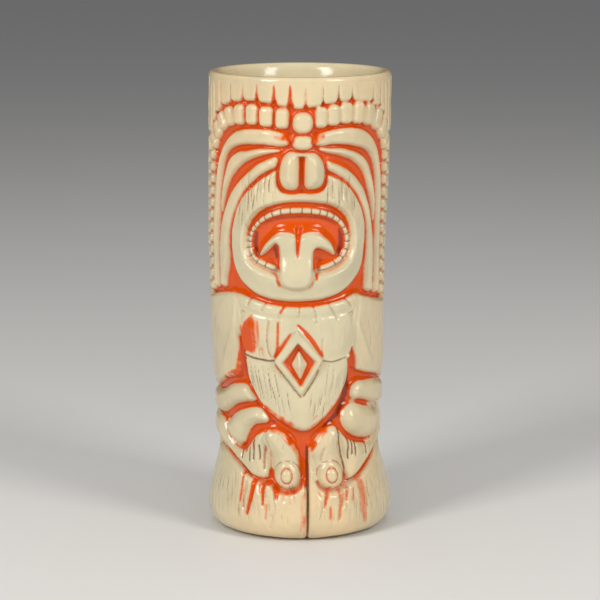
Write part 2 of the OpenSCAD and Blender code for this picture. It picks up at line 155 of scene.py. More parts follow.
@dataclass
class Clay:
    """The sheet of clay, laid out flat as a board of angles and heights.

    height is counted out from the floor of the grooves.
    """

    front_pitch: float = 0.34
    back_pitch: float = 0.8
    front_edge: float = 98.0
    top: float = 163.3
    foot: float = 0.52
    seed: int = 7
    members: dict[str, np.ndarray] = field(default_factory=dict)

    def __post_init__(self) -> None:
        """Lay the board out."""
        front = np.linspace(-self.front_edge, self.front_edge,
                            round(2 * self.front_edge * DEG / self.front_pitch) + 1)
        span = 360 - 2 * self.front_edge
        back = np.linspace(0, span, round(span * DEG / self.back_pitch) + 1)[1:-1] + self.front_edge
        half = len(back) // 2
        turns = np.concatenate([back[half:] - 360, front, back[:half]])
        turns = np.append(turns, turns[0] + 360)
        levels = np.linspace(0, self.top, round(self.top / self.front_pitch) + 1)
        self.turn, self.up = np.meshgrid(turns, levels)
        self.x = self.turn * DEG
        shape = self.turn.shape
        self.height = np.zeros(shape)
        self.stain = np.zeros(shape)
        self.wash = np.ones(shape)
        self.haze = np.zeros(shape)
        # depth holds painted shade: how far the stain is darkened to a deep red in the shaded
        # hollows
        self.depth = np.zeros(shape)
        self.line = np.zeros(shape)
        self.random = np.random.default_rng(self.seed)

    def window(self, x: np.ndarray, z: np.ndarray, margin: float) -> tuple[slice, slice]:
        """The part of the board round some points.

        Args:
            x: distances round, in millimetres.
            z: heights.
            margin: how far past the points the window goes.
        Returns:
            Slices of rows and columns.
        """
        cols = np.searchsorted(self.x[0], [x.min() - margin, x.max() + margin])
        rows = np.searchsorted(self.up[:, 0], [z.min() - margin, z.max() + margin])
        return slice(rows[0], rows[1] + 1), slice(cols[0], cols[1] + 1)

    def inside(self, loop: np.ndarray, win: tuple[slice, slice]) -> np.ndarray:
        """Signed distance to a closed line, positive inside it.

        Args:
            loop: points in millimetres.
            win: the part of the board to measure.
        Returns:
            Distances for that window.
        """
        px, pz = self.x[win], self.up[win]
        best = np.full(px.shape, 1e9)
        within = np.zeros(px.shape, bool)
        for a, b in zip(loop, np.roll(loop, -1, axis=0)):
            e = b[:2] - a[:2]
            size = e @ e
            if size < 1e-12:
                continue
            t = np.clip(((px - a[0]) * e[0] + (pz - a[1]) * e[1]) / size, 0, 1)
            best = np.minimum(best, (px - a[0] - t * e[0])**2 + (pz - a[1] - t * e[1])**2)
            if a[1] != b[1]:
                crossed = (a[1] > pz) != (b[1] > pz)
                within ^= crossed & (px < e[0] * (pz - a[1]) / e[1] + a[0])
        best = np.sqrt(best)
        return np.where(within, best, -best)

    def beside(self, path: np.ndarray, win: tuple[slice, slice]) -> tuple[np.ndarray, np.ndarray]:
        """Distance to an open line and its third value at the nearest place.

        Args:
            path: rows of x, z and one more value.
            win: the part of the board to measure.
        Returns:
            Distances and values for that window.
        """
        px, pz = self.x[win], self.up[win]
        best, value = np.full(px.shape, 1e9), np.zeros(px.shape)
        for a, b in zip(path[:-1], path[1:]):
            e = b[:2] - a[:2]
            t = np.clip(((px - a[0]) * e[0] + (pz - a[1]) * e[1]) / max(e @ e, 1e-12), 0, 1)
            d = (px - a[0] - t * e[0])**2 + (pz - a[1] - t * e[1])**2
            near = d < best
            best = np.where(near, d, best)
            value = np.where(near, a[2] + (b[2] - a[2]) * t, value)
        return np.sqrt(best), value

    def member(self, name: str, outline: Points | np.ndarray, rise: float, shoulder: float,
               dome: float = 0.0, dome_w: float = 6.0) -> tuple[tuple[slice, slice], np.ndarray]:
        """Raise one member of the figure.

        Args:
            name: the member that the ground inside the outline belongs to.
            outline: its edge, in degrees and heights, or a dense line in millimetres.
            rise: height of its shoulders over the groove floor.
            shoulder: how far in the edge is rounded.
            dome: more height, that grows away from the edge.
            dome_w: how far in the dome is full.
        Returns:
            The window of the board and the distances inside the outline.
        """
        loop = outline if isinstance(outline, np.ndarray) else rounded(outline, True)
        win = self.window(loop[:, 0], loop[:, 1], 3.0)
        d = self.inside(loop, win)
        if name not in self.members:
            self.members[name] = np.full(self.x.shape, OUTSIDE, np.float32)
        self.members[name][win] = np.maximum(self.members[name][win], d + self.foot)
        edge = 1 - np.clip((d + self.foot) / shoulder, 0, 1)
        shape = rise * (1 - edge**ROUNDING) + dome * smooth_step((d + self.foot) / dome_w)
        self.height[win] = np.maximum(self.height[win], np.where(d > -self.foot, shape, 0))
        return win, d

    def swell(self, centre: tuple[float, float], half_w: float, half_h: float, amount: float,
              among: tuple[str, ...], power: float = 2.0) -> None:
        """Push the clay out or in round one place, on some members only.

        Args:
            centre: degrees and height.
            half_w: half the width, in degrees.
            half_h: half the height.
            amount: how far the middle moves.
            among: the members that take part.
            power: 2 is a soft mound, and more is flatter with a sharper edge.
        """
        r = np.hypot((self.turn - centre[0]) / half_w, (self.up - centre[1]) / half_h)
        keep = np.zeros(self.x.shape)
        for name in among:
            keep = np.maximum(keep, smooth_step(self.members[name] / 1.2))
        self.height += amount * np.exp(-r**power) * keep

    def groove(self, path: Points, depth: float, stain: float = 0.0, line: float = 0.0,
               width: float = 1.0, per: int = 5) -> None:
        """Cut a groove along an open line.

        Args:
            path: degrees, heights and, if there is a third value, half-widths.
            depth: depth at the middle; a negative one leaves a ridge.
            stain: how much orange it holds.
            line: how brown it is, for the finest lines.
            width: the half-width where the path gives none.
            per: steps between two of the path's points.
        """
        rows = tuple(p if len(p) > 2 else (*p, width) for p in path)
        dense = rounded(rows, False, per)
        wide = float(dense[:, 2].max())
        win = self.window(dense[:, 0], dense[:, 1], 3 * wide)
        d, w = self.beside(dense, win)
        cut = np.exp(-(d / np.maximum(w, 0.05))**2)
        self.height[win] -= depth * cut * np.minimum(1, w / max(width * 0.5, 0.1))
        self.stain[win] = np.maximum(self.stain[win],
                                     stain * np.exp(-(d / np.maximum(w * 1.1, 0.05))**4))
        self.line[win] = np.maximum(self.line[win],
                                    line * np.exp(-(d / np.maximum(w * 1.1, 0.05))**2))

    def brush(self, path: Points, width: float) -> tuple[tuple[slice, slice], np.ndarray]:
        """A soft stroke along an open line.

        Args:
            path: degrees, heights and, if there is a third value, half-widths.
            width: the half-width where the path gives none.
        Returns:
            The window of the board and the stroke's weight there, from 0 to 1.
        """
        rows = tuple(p if len(p) > 2 else (*p, width) for p in path)
        dense = rounded(rows, False)
        win = self.window(dense[:, 0], dense[:, 1], 2.2 * float(dense[:, 2].max()))
        d, w = self.beside(dense, win)
        return win, np.exp(-(d / np.maximum(w, 0.05))**4)

    def bridge(self, path: Points, height: float, width: float, wipe: float = 0.9) -> None:
        """Fill a groove between two members with clay, and wipe the stain off it.

        Args:
            path: the middle of the groove.
            height: how high the clay is filled.
            width: half the width of the fill.
            wipe: the share of the stain that is wiped off.
        """
        win, w = self.brush(path, width)
        self.height[win] = np.maximum(self.height[win], height * w)
        win, w = self.brush(path, width * 1.35)
        self.wash[win] *= 1 - wipe * w

    def wipe(self, path: Points, width: float, share: float) -> None:
        """Wipe stain off along a line."""
        win, w = self.brush(path, width)
        self.wash[win] *= 1 - share * w

    def smear(self, path: Points, width: float, amount: float) -> None:
        """Leave a haze of stain along a line, whatever the clay's shape is there."""
        win, w = self.brush(path, width)
        self.haze[win] = np.maximum(self.haze[win], amount * w)

    def darken(self, path: Points, width: float, amount: float) -> None:
        """Paint shade into the stain along a line in a hollow, darkening it towards a dark red."""
        win, w = self.brush(path, width)
        self.depth[win] = np.maximum(self.depth[win], amount * w)

    def grain(self, box: tuple[float, float, float, float], count: int, length: tuple[float, float],
              depth: float, line: float, lean: float = 0.0, stain: float = 0.0,
              width: float = 0.3) -> None:
        """Scratch upright lines of wood grain into an area.

        Args:
            box: lowest and highest degrees, then lowest and highest heights.
            count: number of lines.
            length: shortest and longest line.
            depth: depth of each line.
            line: how brown the lines are.
            lean: degrees that a line drifts for each 10 mm.
            stain: how much orange they hold.
            width: half-width of a line.
        """
        for i in range(count):
            share = (i + 0.5 + self.random.uniform(-0.35, 0.35)) / count
            turn = box[0] + (box[1] - box[0]) * share
            size = self.random.uniform(*length)
            low = self.random.uniform(box[2], max(box[3] - size, box[2] + 0.1))
            drift = (lean + self.random.uniform(-1.2, 1.2)) * size / 10
            bend = self.random.uniform(-0.8, 0.8)
            self.groove(((turn, low, width * 0.3),
                         (turn + drift * 0.5 + bend, low + size / 2, width),
                         (turn + drift, low + size, width * 0.3)),
                        depth * self.random.uniform(0.6, 1.2), stain,
                        line * self.random.uniform(0.5, 1),
                        width, per=4)

    def soften(self, values: np.ndarray, reach: float) -> np.ndarray:
        """Blur a field, round the mug and up it.

        Args:
            values: one value for every point of the board.
            reach: the blur's radius in millimetres.
        Returns:
            The blurred values.
        """
        steps = max(1, int(round(2.5 * reach / self.front_pitch)))
        weights = np.exp(-0.5 * (np.arange(-steps, steps + 1) * self.front_pitch / reach)**2)
        weights /= weights.sum()
        core = values[:, :-1]
        out = np.zeros_like(core)
        for k, w in zip(range(-steps, steps + 1), weights):
            out += w * np.roll(core, k, axis=1)
        tall = np.pad(out, ((steps, steps), (0, 0)), mode="edge")
        out = sum(w * tall[i:i + len(core)] for i, w in enumerate(weights))
        return np.concatenate([out, out[:, :1]], axis=1)

    def lumps(self, reach: float) -> np.ndarray:
        """Soft noise of about unit strength, with bumps of one size."""
        noise = self.random.standard_normal(self.x.shape)
        noise[:, -1] = noise[:, 0]
        noise = self.soften(noise, reach)
        return noise / noise.std()


# ---------------------------------------------------------------- the figure


@dataclass
class Crown:
    """Upright feathers under the lip, cut apart by grooves, over a scalloped edge."""

    rise: float = 2.3
    front_cuts: Points = (
        (-74, 0.4, 0.45), (-68, 0.45, 0.45), (-59.5, 0.5, 0.6), (-49, 0.32, 0.25),
        (-38.6, 0.42, 0.6),
        (-28, 0.5, 0.9), (-16.4, 0.7, 1.0), (-6.2, 0.85, 1.0), (3.4, 0.42, 0.6), (14.4, 0.3, 0.3),
        (24.6, 0.42, 0.45), (34.6, 0.32, 0.25), (52.6, 0.36, 0.3), (61, 0.5, 0.55),
        (68, 0.45, 0.45), (75, 0.4, 0.35),
    )
    tips: Points = (
        (0, 155.2), (10, 156), (20, 157), (32, 157.6), (45, 157), (52, 156.2), (60, 154.6),
        (67, 152),
        (73, 148.2), (78, 145.4), (84, 144.4), (180, 144.4),
    )
    back_count: int = 22

    def carve(self, clay: Clay) -> None:
        """Raise the band, and cut the feathers in it."""
        tips = np.array(self.tips)
        cuts = [c[0] for c in self.front_cuts]
        gap = (360 - cuts[-1] + cuts[0]) / self.back_count
        cuts += [cuts[-1] + gap * i for i in range(1, self.back_count)]
        edges = sorted(((c + 180) % 360) - 180 for c in cuts)
        edges = [edges[-1] - 360, *edges, edges[0] + 360]
        low = np.full(clay.x.shape, 200.0)
        for a, b in zip(edges[:-1], edges[1:]):
            middle, half = (a + b) / 2, (b - a) / 2
            base = np.interp(abs(((middle + 180) % 360) - 180), tips[:, 0], tips[:, 1])
            t = (clay.turn - middle) / half
            slope = np.interp(np.abs(clay.turn), tips[:, 0], tips[:, 1]) - base
            scallop = base + slope * 0.8 + 1.1 * np.abs(t)**5 - 0.5
            low = np.where(np.abs(t) <= 1, scallop, low)
        d = clay.up - low
        clay.members["crown_feathers"] = (np.minimum(d, 200) + clay.foot).astype(np.float32)
        edge = 1 - np.clip((d + clay.foot) / 1.4, 0, 1)
        clay.height = np.maximum(clay.height,
                                 np.where(d > -clay.foot, self.rise * (1 - edge**ROUNDING), 0))
        for turn, width, stain in self.front_cuts:
            tip = float(np.interp(abs(turn), tips[:, 0], tips[:, 1]))
            clay.groove(((turn + 0.3, tip + 0.2, width * 1.5), (turn, tip + 2.0, width * 0.75),
                         (turn + 0.2, 160.5, width * 0.5), (turn + 0.1, 162.2, width * 0.3)), 1.0,
                        stain=stain, line=0.5 if stain < 0.6 else 0.25, width=width)
        for turn in cuts[len(self.front_cuts):]:
            turn = ((turn + 180) % 360) - 180
            tip = float(np.interp(abs(turn), tips[:, 0], tips[:, 1]))
            clay.groove(((turn, tip + 0.4, 1.0), (turn, tip + 3, 0.8), (turn, 160, 0.6),
                         (turn, 163, 0.4)), 1.15,
                        stain=0.35, line=0.3, width=0.8)


@dataclass
class Brow:
    """Beads across the brow and down the sides of the face, and two on the forehead."""

    rise: float = 2.3
    left: Points = (
        (-11.4, 151.4, 8.3, 6.6, 0), (-21.9, 151.9, 8.9, 6.7, 0), (-32, 152.4, 8.4, 6.7, 2),
        (-41.9, 152.1, 8.2, 6.7, 5), (-51.2, 151.2, 8.0, 6.6, 12), (-59.6, 149.2, 8.0, 6.6, 28),
        (-66.6, 145.8, 7.8, 6.4, 44), (-72.2, 141.6, 7.0, 6.2, 60),
    )
    right: Points = (
        (13.8, 151.8, 7.8, 6.9, 0), (22, 152.4, 8.2, 7.0, 0), (30.9, 153.0, 9.0, 7.1, -2),
        (40.4, 152.8, 9.2, 7.3, -4), (50, 152.0, 9.2, 7.5, -10), (59.6, 150.0, 9.2, 7.6, -20),
        (68.2, 146.4, 8.8, 7.6, -38), (74.4, 141.6, 7.4, 6.8, -58),
    )
    rung_top: float = 138.4
    rung_low_left: float = 86.6
    rung_low_right: float = 85.2
    rung_count: int = 12
    rung_inner: float = 72.6
    rung_outer: float = 86.0

    def carve(self, clay: Clay) -> None:
        """Raise every bead."""
        for side, beads in ((Side.LEFT, self.left), (Side.RIGHT, self.right)):
            name = f"brow_beads_{side.word}"
            for turn, up, wide, tall, tilt in beads:
                clay.member(name, self.tab(turn, up, wide * DEG, tall, tilt), self.rise, 1.5, 0.25,
                            3)
            low = self.rung_low_right if side is Side.RIGHT else self.rung_low_left
            pitch = (self.rung_top - low) / self.rung_count
            for i in range(self.rung_count):
                up = self.rung_top - pitch * (i + 0.5)
                inner = self.rung_inner + 1.2 * smooth_step(np.array((up - 120) / -25.0))
                middle = side.value * (inner + self.rung_outer) / 2
                clay.member(name, self.tab(middle, up, (self.rung_outer - inner) * DEG,
                                           pitch - 0.95, side.value * -3), self.rise, 1.15, 0.1, 2)
        clay.member("forehead_bead_upper", self.disc(2.0, 149.9, 6.3, 3.6), 2.7, 1.8, 0.6, 3.5)
        clay.member("forehead_bead_lower", self.disc(2.2, 143.1, 6.4, 2.55), 2.6, 1.6, 0.5, 2.4)
        clay.smear(((-5.6, 144.2, 1.8), (-8.6, 144.6, 1.8)), 1.8, 0.95)
        clay.smear(((-8, 144.6, 1.7), (-12, 144.8, 1.4), (-15, 145, 0.8)), 1.4, 0.52)
        clay.smear(((8.8, 143.6, 1.2), (10.6, 144.4, 1.3)), 1.3, 0.95)
        clay.smear(((10.6, 144.2, 1.3), (13, 144.8, 1.1), (15, 145.4, 0.7)), 1.2, 0.52)
        clay.wipe(((24, 152.6, 2.5), (36, 153.0, 2.5), (50, 152.2, 2.5), (60, 150.2, 2.2)), 2.4,
                  0.7)
        clay.wipe(((-44, 152.2, 2.0), (-55, 150.8, 2.0), (-63, 148.0, 1.8)), 2.0, 0.5)
        for start, end in ((-104, -76), (76, 104)):
            clay.bridge(((start, 144, 1.2), (end, 144, 1.2)), 1.95, 1.2, 0.5)

    @staticmethod
    def tab(turn: float, up: float, wide: float, tall: float, tilt: float) -> np.ndarray:
        """The edge of a bead: a box with round corners.

        Args:
            turn: degrees of its middle.
            up: height of its middle.
            wide: width in millimetres.
            tall: height.
            tilt: degrees that it leans by.
        Returns:
            A dense closed line in millimetres.
        """
        a = np.linspace(0, 2 * math.pi, 40, endpoint=False)
        c, s = np.cos(a), np.sin(a)
        x = np.sign(c) * np.abs(c)**0.5 * wide / 2
        z = np.sign(s) * np.abs(s)**0.5 * tall / 2
        r = math.radians(tilt)
        return np.column_stack([turn * DEG + x * math.cos(r) - z * math.sin(r),
                                up + x * math.sin(r) + z * math.cos(r)])

    @staticmethod
    def disc(turn: float, up: float, half_w: float, half_h: float) -> np.ndarray:
        """The edge of a round bead, as a dense closed line in millimetres."""
        a = np.linspace(0, 2 * math.pi, 36, endpoint=False)
        return np.column_stack([turn * DEG + np.sign(np.cos(a)) * np.abs(np.cos(a))**0.85 * half_w
                                * DEG,
                                up + np.sign(np.sin(a)) * np.abs(np.sin(a))**0.85 * half_h])


@dataclass
class Arches:
    """Three nested ridges on each side of the face, from the nose to the shoulders."""

    rise: float = 2.3
    outer_left: Points = (
        (-6.6, 142.9), (-9.6, 145.8), (-20, 147.4), (-30, 147.4), (-40, 146.7), (-48, 145.2),
        (-54.5, 142.2),
        (-60, 137.6), (-64, 132.8), (-66.8, 128), (-68.8, 122), (-70, 114), (-70.6, 104),
        (-70.8, 97),
        (-70.6, 89.4), (-65.4, 89.8), (-65, 97), (-64.6, 104), (-63.8, 111), (-62.6, 117),
        (-61.6, 123),
        (-60.4, 129), (-57.8, 134.3), (-53.4, 138.3), (-48, 140.4), (-41, 141.7), (-33, 142.2),
        (-22, 142.3), (-12, 141.9),
    )
    outer_right: Points = (
        (9.4, 142.9), (12, 145.6), (21, 147.3), (30, 147.7), (40, 147.3), (48, 145.9),
        (54.4, 143.2),
        (59.4, 139.4), (63, 134.8), (65.4, 129.6), (66.8, 123.4), (67.6, 115), (68.2, 106),
        (68.4, 97),
        (68, 88), (62.4, 88.2), (63.4, 97), (64.2, 104), (64.2, 111), (63.4, 118), (62, 124.4),
        (60.2, 130), (57, 134.8), (52, 138.2), (46, 140.2), (40, 141.2), (32, 142.1), (22, 142.5),
        (14, 142.1),
    )
    middle_left: Points = (
        (-12, 140.2), (-20, 140.6), (-28, 140.3), (-32.4, 139.8), (-37.4, 139.2), (-42.6, 138.9),
        (-48.5, 137.1),
        (-52.6, 133.8), (-55.6, 129.6), (-57.8, 125.2), (-59.4, 120.6), (-60.4, 116.6),
        (-57.8, 120), (-54.6, 124.8),
        (-50.4, 129), (-45, 132.4), (-39, 135.1), (-31, 137.4), (-22, 139),
    )
    middle_right: Points = (
        (13, 140.8), (20, 140.9), (25.4, 140.8), (30, 140.5), (35, 139.7), (40, 138.8),
        (45.6, 137.2), (49.6, 134.8),
        (53, 131.4), (56.2, 127), (58.6, 122), (60, 117.6), (60.8, 113), (58.6, 116.6), (55.6, 121),
        (52, 125.6),
        (48.8, 129.6), (45.2, 132.7), (40, 135.2), (34.8, 137), (30, 138), (25.3, 138.9),
        (20, 139.5),
    )
    inner_left: Points = (
        (-14.6, 137.8), (-19, 137.2), (-23.5, 136.1), (-28, 134.8), (-32.4, 132.9), (-37.4, 130.7),
        (-42.6, 128),
        (-47.6, 124.8), (-51.8, 120.8), (-55.6, 116.2), (-58.6, 111.2), (-60.4, 105.6), (-61, 100),
        (-60.8, 95),
        (-60.2, 90.2), (-55.4, 90.2), (-54.8, 93), (-52.4, 96.4), (-51, 100.6), (-50.2, 105),
        (-48.8, 110.2), (-46.2, 115.2), (-42.4, 119.9),
        (-37.4, 124.7), (-32.4, 127.8), (-27.8, 130.2), (-23.5, 132), (-19.1, 133.4),
        (-14.8, 134.8),
    )
    inner_right: Points = (
        (18.4, 136.4), (20.7, 135.9), (25.3, 135), (30, 133.9), (35, 132.3), (40, 130),
        (45.6, 126.4), (50, 122),
        (53.4, 117.2), (56.2, 112), (58.2, 107), (59, 102), (59, 97), (58.6, 92), (58.2, 88.2),
        (51.6, 89.4),
        (52.2, 94), (52.2, 100), (52, 105.4), (51, 110.6), (48.6, 115.4), (44.8, 120),
        (40.1, 124.2),
        (34.9, 127.4), (30, 129.7), (25.3, 131.5), (20.7, 133), (18.6, 133.8),
    )

    def carve(self, clay: Clay) -> None:
        """Raise the six ridges."""
        for side, parts in ((Side.LEFT, (self.outer_left, self.middle_left, self.inner_left)),
                            (Side.RIGHT, (self.outer_right, self.middle_right, self.inner_right))):
            for kind, outline in zip(("outer", "middle", "inner"), parts):
                clay.member(f"{kind}_arch_{side.word}", outline, self.rise, 1.7,
                            0.3 if kind == "inner" else 0.15, 2.5)


@dataclass
class Face:
    """The nose, the domed muzzle, and the open mouth with its teeth and tongue."""

    nose_left: Points = (
        (-0.3, 138.4), (-3.4, 140), (-8, 139.2), (-11, 136.9), (-12.5, 133.3), (-12, 129.7),
        (-9.4, 127.3),
        (-5.2, 126.5), (-1.4, 127.1), (0.1, 129.6), (0.2, 134),
    )
    nose_right: Points = (
        (3.9, 138.6), (6.4, 139.5), (10.4, 139.2), (14.4, 137), (16.6, 133.4), (16.4, 130),
        (14.4, 127.7),
        (10, 126.8), (6, 127), (3.9, 128.8), (3.4, 133.4),
    )
    muzzle: Points = (
        (1, 125), (-6, 125), (-11.4, 126), (-13.8, 128.6), (-14.4, 131.4), (-14.8, 133.2),
        (-19, 132),
        (-25, 130.1), (-31, 127.2), (-37.2, 124.4), (-41.7, 120.6), (-45.2, 116.1), (-47.4, 111),
        (-47.8, 106),
        (-46.6, 101), (-44.2, 97), (-40.6, 93.9), (-35.4, 91.3), (-29, 89.2), (-21, 87.8),
        (-11, 87), (0, 86.8),
        (13, 87.1), (24, 88.2), (32, 89.9), (39, 92.6), (44.4, 95.8), (47.6, 99.8), (49, 104.4),
        (49.6, 109),
        (48.2, 114.3), (44.6, 119.6), (39.4, 124), (33.8, 127.5), (28.4, 129.6), (22.4, 131),
        (18.8, 131.5),
        (18, 129), (15.8, 126.4), (10, 125.2),
    )
    mouth: Points = (
        (0.5, 122.2), (-10, 121.8), (-20, 120.1), (-26.6, 117.8), (-31, 114.8), (-33.8, 111.4),
        (-34.6, 107.8),
        (-33.8, 104.2), (-31.4, 101.4), (-27, 99.3), (-21, 97.8), (-14.4, 96.6), (-8, 96.2),
        (0, 96),
        (9, 96.2), (17, 96.8), (23.6, 97.8), (29.8, 99.4), (34.4, 102.2), (36.7, 106),
        (36.4, 110.2),
        (33.8, 114.8), (28.6, 118.3), (20.4, 120.9), (10.4, 121.9),
    )
    teeth_left: Points = (
        (0.3, 119.2, 1.15), (-10, 118.8, 1.15), (-18, 117.4, 1.1), (-25, 115.1, 1.0),
        (-30, 112.2, 0.95),
        (-32.2, 109.1, 0.95), (-32.6, 106, 0.95), (-31, 102.9, 1.0), (-26.8, 100.7, 1.1),
        (-21, 99.4, 1.15),
        (-15, 98.5, 1.1),
    )
    teeth_right: Points = (
        (0.3, 119.2, 1.15), (10, 118.9, 1.15), (18, 118, 1.15), (24.8, 116.3, 1.1),
        (30.4, 113.8, 1.05),
        (33.8, 110.4, 1.0), (34.8, 107, 1.0), (33.4, 103.7, 1.0), (29, 101.1, 1.05),
        (23.2, 99.3, 1.15),
        (17, 98.3, 1.1),
    )
    gaps_left: tuple[float, ...] = (0.075, 0.165, 0.25, 0.33, 0.4, 0.46, 0.515, 0.565, 0.615, 0.67,
                                    0.74, 0.82, 0.91)
    gaps_right: tuple[float, ...] = (0.035, 0.12, 0.2, 0.27, 0.34, 0.41, 0.49, 0.56, 0.63, 0.7,
                                     0.78, 0.87)
    tongue: Points = (
        (0.6, 110.0), (-3.6, 111.0), (-8.4, 111.4), (-13.6, 110.9), (-18.8, 109), (-22.8, 106.4),
        (-25.6, 103.2),
        (-24.2, 102.4), (-20, 104), (-16, 106), (-13.4, 106.8), (-12.2, 104), (-12.1, 99),
        (-11.8, 95.2),
        (-10.4, 92.6), (-6.4, 91), (0, 90.5), (5.6, 91), (9.2, 92.6), (10.9, 95.4), (11.4, 99),
        (11.5, 104),
        (13.2, 105.3), (17, 104.9), (21, 103.9), (24.6, 102.7), (26.2, 103.2), (24, 106.8),
        (20, 109.3),
        (14.4, 111.1), (9, 111.5), (4.4, 111),
    )

    def carve(self, clay: Clay) -> None:
        """Raise the muzzle, sink the mouth, and stand the teeth and the tongue in it."""
        win, _ = clay.member("muzzle", self.muzzle, 2.3, 1.9, 1.9, 11)
        mouth = rounded(self.mouth, True)
        hollow = clay.inside(mouth, win)
        self.lips(clay, win, hollow)
        for side, path, gaps in ((Side.LEFT, self.teeth_left, self.gaps_left),
                                 (Side.RIGHT, self.teeth_right, self.gaps_right)):
            self.teeth(clay, side, path, gaps)
        self.palate(clay, win, hollow)
        self.hang_tongue(clay)
        clay.grain((-38, -13.5, 118, 133), 13, (5, 11), 0.42, 0.55, width=0.36)
        clay.grain((-42, -28, 108, 122), 6, (4, 9), 0.3, 0.5, width=0.34)
        clay.grain((17, 38, 117, 132), 12, (5, 11), 0.42, 0.5, width=0.36)
        clay.grain((30, 43, 106, 120), 5, (4, 9), 0.26, 0.4, width=0.34)
        clay.grain((-45, -36, 98, 116), 5, (4, 9), 0.14, 0.2)
        clay.grain((37, 46, 98, 116), 5, (4, 9), 0.14, 0.2)
        for side, outline in ((Side.LEFT, self.nose_left), (Side.RIGHT, self.nose_right)):
            clay.member(f"nostril_{side.word}", outline, 2.6, 2.0, 2.2, 5.2)
        clay.bridge(((-2, 139, 0.7), (2, 138.9, 0.6), (6, 138.9, 0.7)), 3.0, 0.7, 0.9)

    def lips(self, clay: Clay, win: tuple[slice, slice], hollow: np.ndarray) -> None:
        """Round the lips over and sink the mouth's floor."""
        clay.members["muzzle"][win] = np.minimum(clay.members["muzzle"][win],
                                                 clay.foot - hollow - 0.3)
        ground = clay.height[win]
        edge = np.clip((hollow + 1.5) / 2.6, 0, 1)
        clay.height[win] = ground * (1 - smooth_step(edge)) + -0.9 * smooth_step(edge)
        band = np.exp(-((hollow - 0.75) / 0.85)**4)
        upper = smooth_step((clay.up[win] - 106) / 8)
        clay.stain[win] = np.maximum(clay.stain[win], band * (0.25 + 0.75 * upper))
        clay.wash[win] *= 1 - 0.7 * band * (1 - upper)
        clay.line[win] = np.maximum(clay.line[win],
                                    0.45 * np.exp(-((hollow - 0.9) / 0.4)**2) * (1 - upper))

    def teeth(self, clay: Clay, side: Side, path: Points, gaps: tuple[float, ...]) -> None:
        """Lay one half of the teeth as a band with cuts across it."""
        dense = rounded(path, False, 8)
        win = clay.window(dense[:, 0], dense[:, 1], 4)
        d, half = clay.beside(dense, win)
        name = f"teeth_{side.word}"
        side_of = side.value * (clay.x[win] - 0.3 * DEG)
        inside = np.minimum(half + 0.15 - d, side_of)
        clay.members[name] = np.full(clay.x.shape, OUTSIDE, np.float32)
        clay.members[name][win] = inside
        shape = 2.5 * (1 - (1 - np.clip((half + 0.2 - d) / 0.95, 0, 1))**ROUNDING) - 0.9
        clay.height[win] = np.maximum(clay.height[win],
                                      np.where((d < half + 0.2) & (side_of > -1), shape, -9))
        clay.wash[win] *= 1 - 0.9 * np.clip((half - d) / 0.3, 0, 1)
        step = np.concatenate([[0], np.cumsum(np.hypot(*np.diff(dense[:, :2], axis=0).T))])
        for share in gaps:
            at = share * step[-1]
            x, z = (np.interp(at, step, dense[:, k]) for k in (0, 1))
            x2, z2 = (np.interp(at + 0.4, step, dense[:, k]) for k in (0, 1))
            n = np.array([-(z2 - z), x2 - x])
            n = n / np.hypot(*n) * 1.1
            clay.groove((((x - n[0]) / DEG, z - n[1]), ((x + n[0]) / DEG, z + n[1])), 0.8, 0.35,
                        0.7, 0.25)

    def palate(self, clay: Clay, win: tuple[slice, slice], hollow: np.ndarray) -> None:
        """Slope the clay up behind the tongue, and stain the mouth's inside."""
        inside = smooth_step((hollow - 2.3) / 1.2)
        slope = np.clip((116.6 - clay.up[win]) / 5.5, 0, 1)
        bulge = np.exp(-((clay.turn[win] - 0.6) / 19)**4) * smooth_step((clay.up[win] - 106) / 3)
        clay.height[win] += inside * bulge * slope * 2.6 * (clay.height[win] < 1.0)
        deep = smooth_step((hollow - 2.5) / 0.8)
        clay.stain[win] = np.maximum(clay.stain[win], deep * 1.0)

    def hang_tongue(self, clay: Clay) -> None:
        """Raise the tongue: two lobes, a centre groove, and a tip over the lip."""
        before = clay.height.copy()
        loop = rounded(self.tongue, True)
        win = clay.window(loop[:, 0], loop[:, 1], 3)
        d = clay.inside(loop, win)
        clay.members["tongue"] = np.full(clay.x.shape, OUTSIDE, np.float32)
        clay.members["tongue"][win] = d + clay.foot
        for other in ("muzzle", "teeth_left", "teeth_right"):
            clay.members[other][win] = np.minimum(clay.members[other][win], -(d + clay.foot))
        down = smooth_step((107 - clay.up[win]) / 12)
        rise = 2.5 + 2.3 * down
        edge = 1 - np.clip((d + clay.foot) / (2.0 + 0.6 * down), 0, 1)
        shape = rise * (1 - edge**ROUNDING) + 0.5 * smooth_step(d / 5)
        low = np.where(clay.up[win] < 97.5, 3.4, -0.6)
        shape = low + (shape - low) * (1 - edge**ROUNDING)
        clay.height[win] = np.where(d > -clay.foot, np.maximum(shape, before[win] * edge),
                                    clay.height[win])
        clay.stain[win] *= 1 - smooth_step((d + 0.45) / 0.5)
        clay.line[win] *= 1 - smooth_step((d + 0.3) / 0.5)
        clay.groove(((0.7, 112.6, 0.9), (0.5, 109, 0.8), (0.4, 105.6, 0.55), (0.4, 102.6, 0.25)),
                    1.5, 0.95, width=0.8)
        clay.groove(((-12.6, 97.6, 0.7), (-12.6, 95, 0.5), (-11.2, 92.4, 0.3)), 0.6, 0.5, width=0.7)
        clay.groove(((12.6, 97.2, 0.7), (12.2, 94.6, 0.45)), 0.6, 0.75, width=0.7)
        clay.smear(((-24.6, 104.6, 0.7), (-20, 108.4, 0.9), (-13, 111, 0.6)), 0.8, 0.42)
        clay.smear(((12, 111.2, 0.5), (18, 109.6, 0.9), (22.6, 106.6, 0.9)), 0.8, 0.42)
        # Painted shade: the mouth's deep corners, the top of the mouth and the hollows under the
        # tongue are darkened to a deep red
        clay.darken(((-29.4, 111, 0.9), (-30.6, 106, 1.5), (-28, 102.4, 1.0)), 1.2, 1.3)
        clay.darken(((30.6, 112, 1.0), (32.2, 107, 1.5), (29.6, 103.2, 1.0)), 1.2, 1.3)
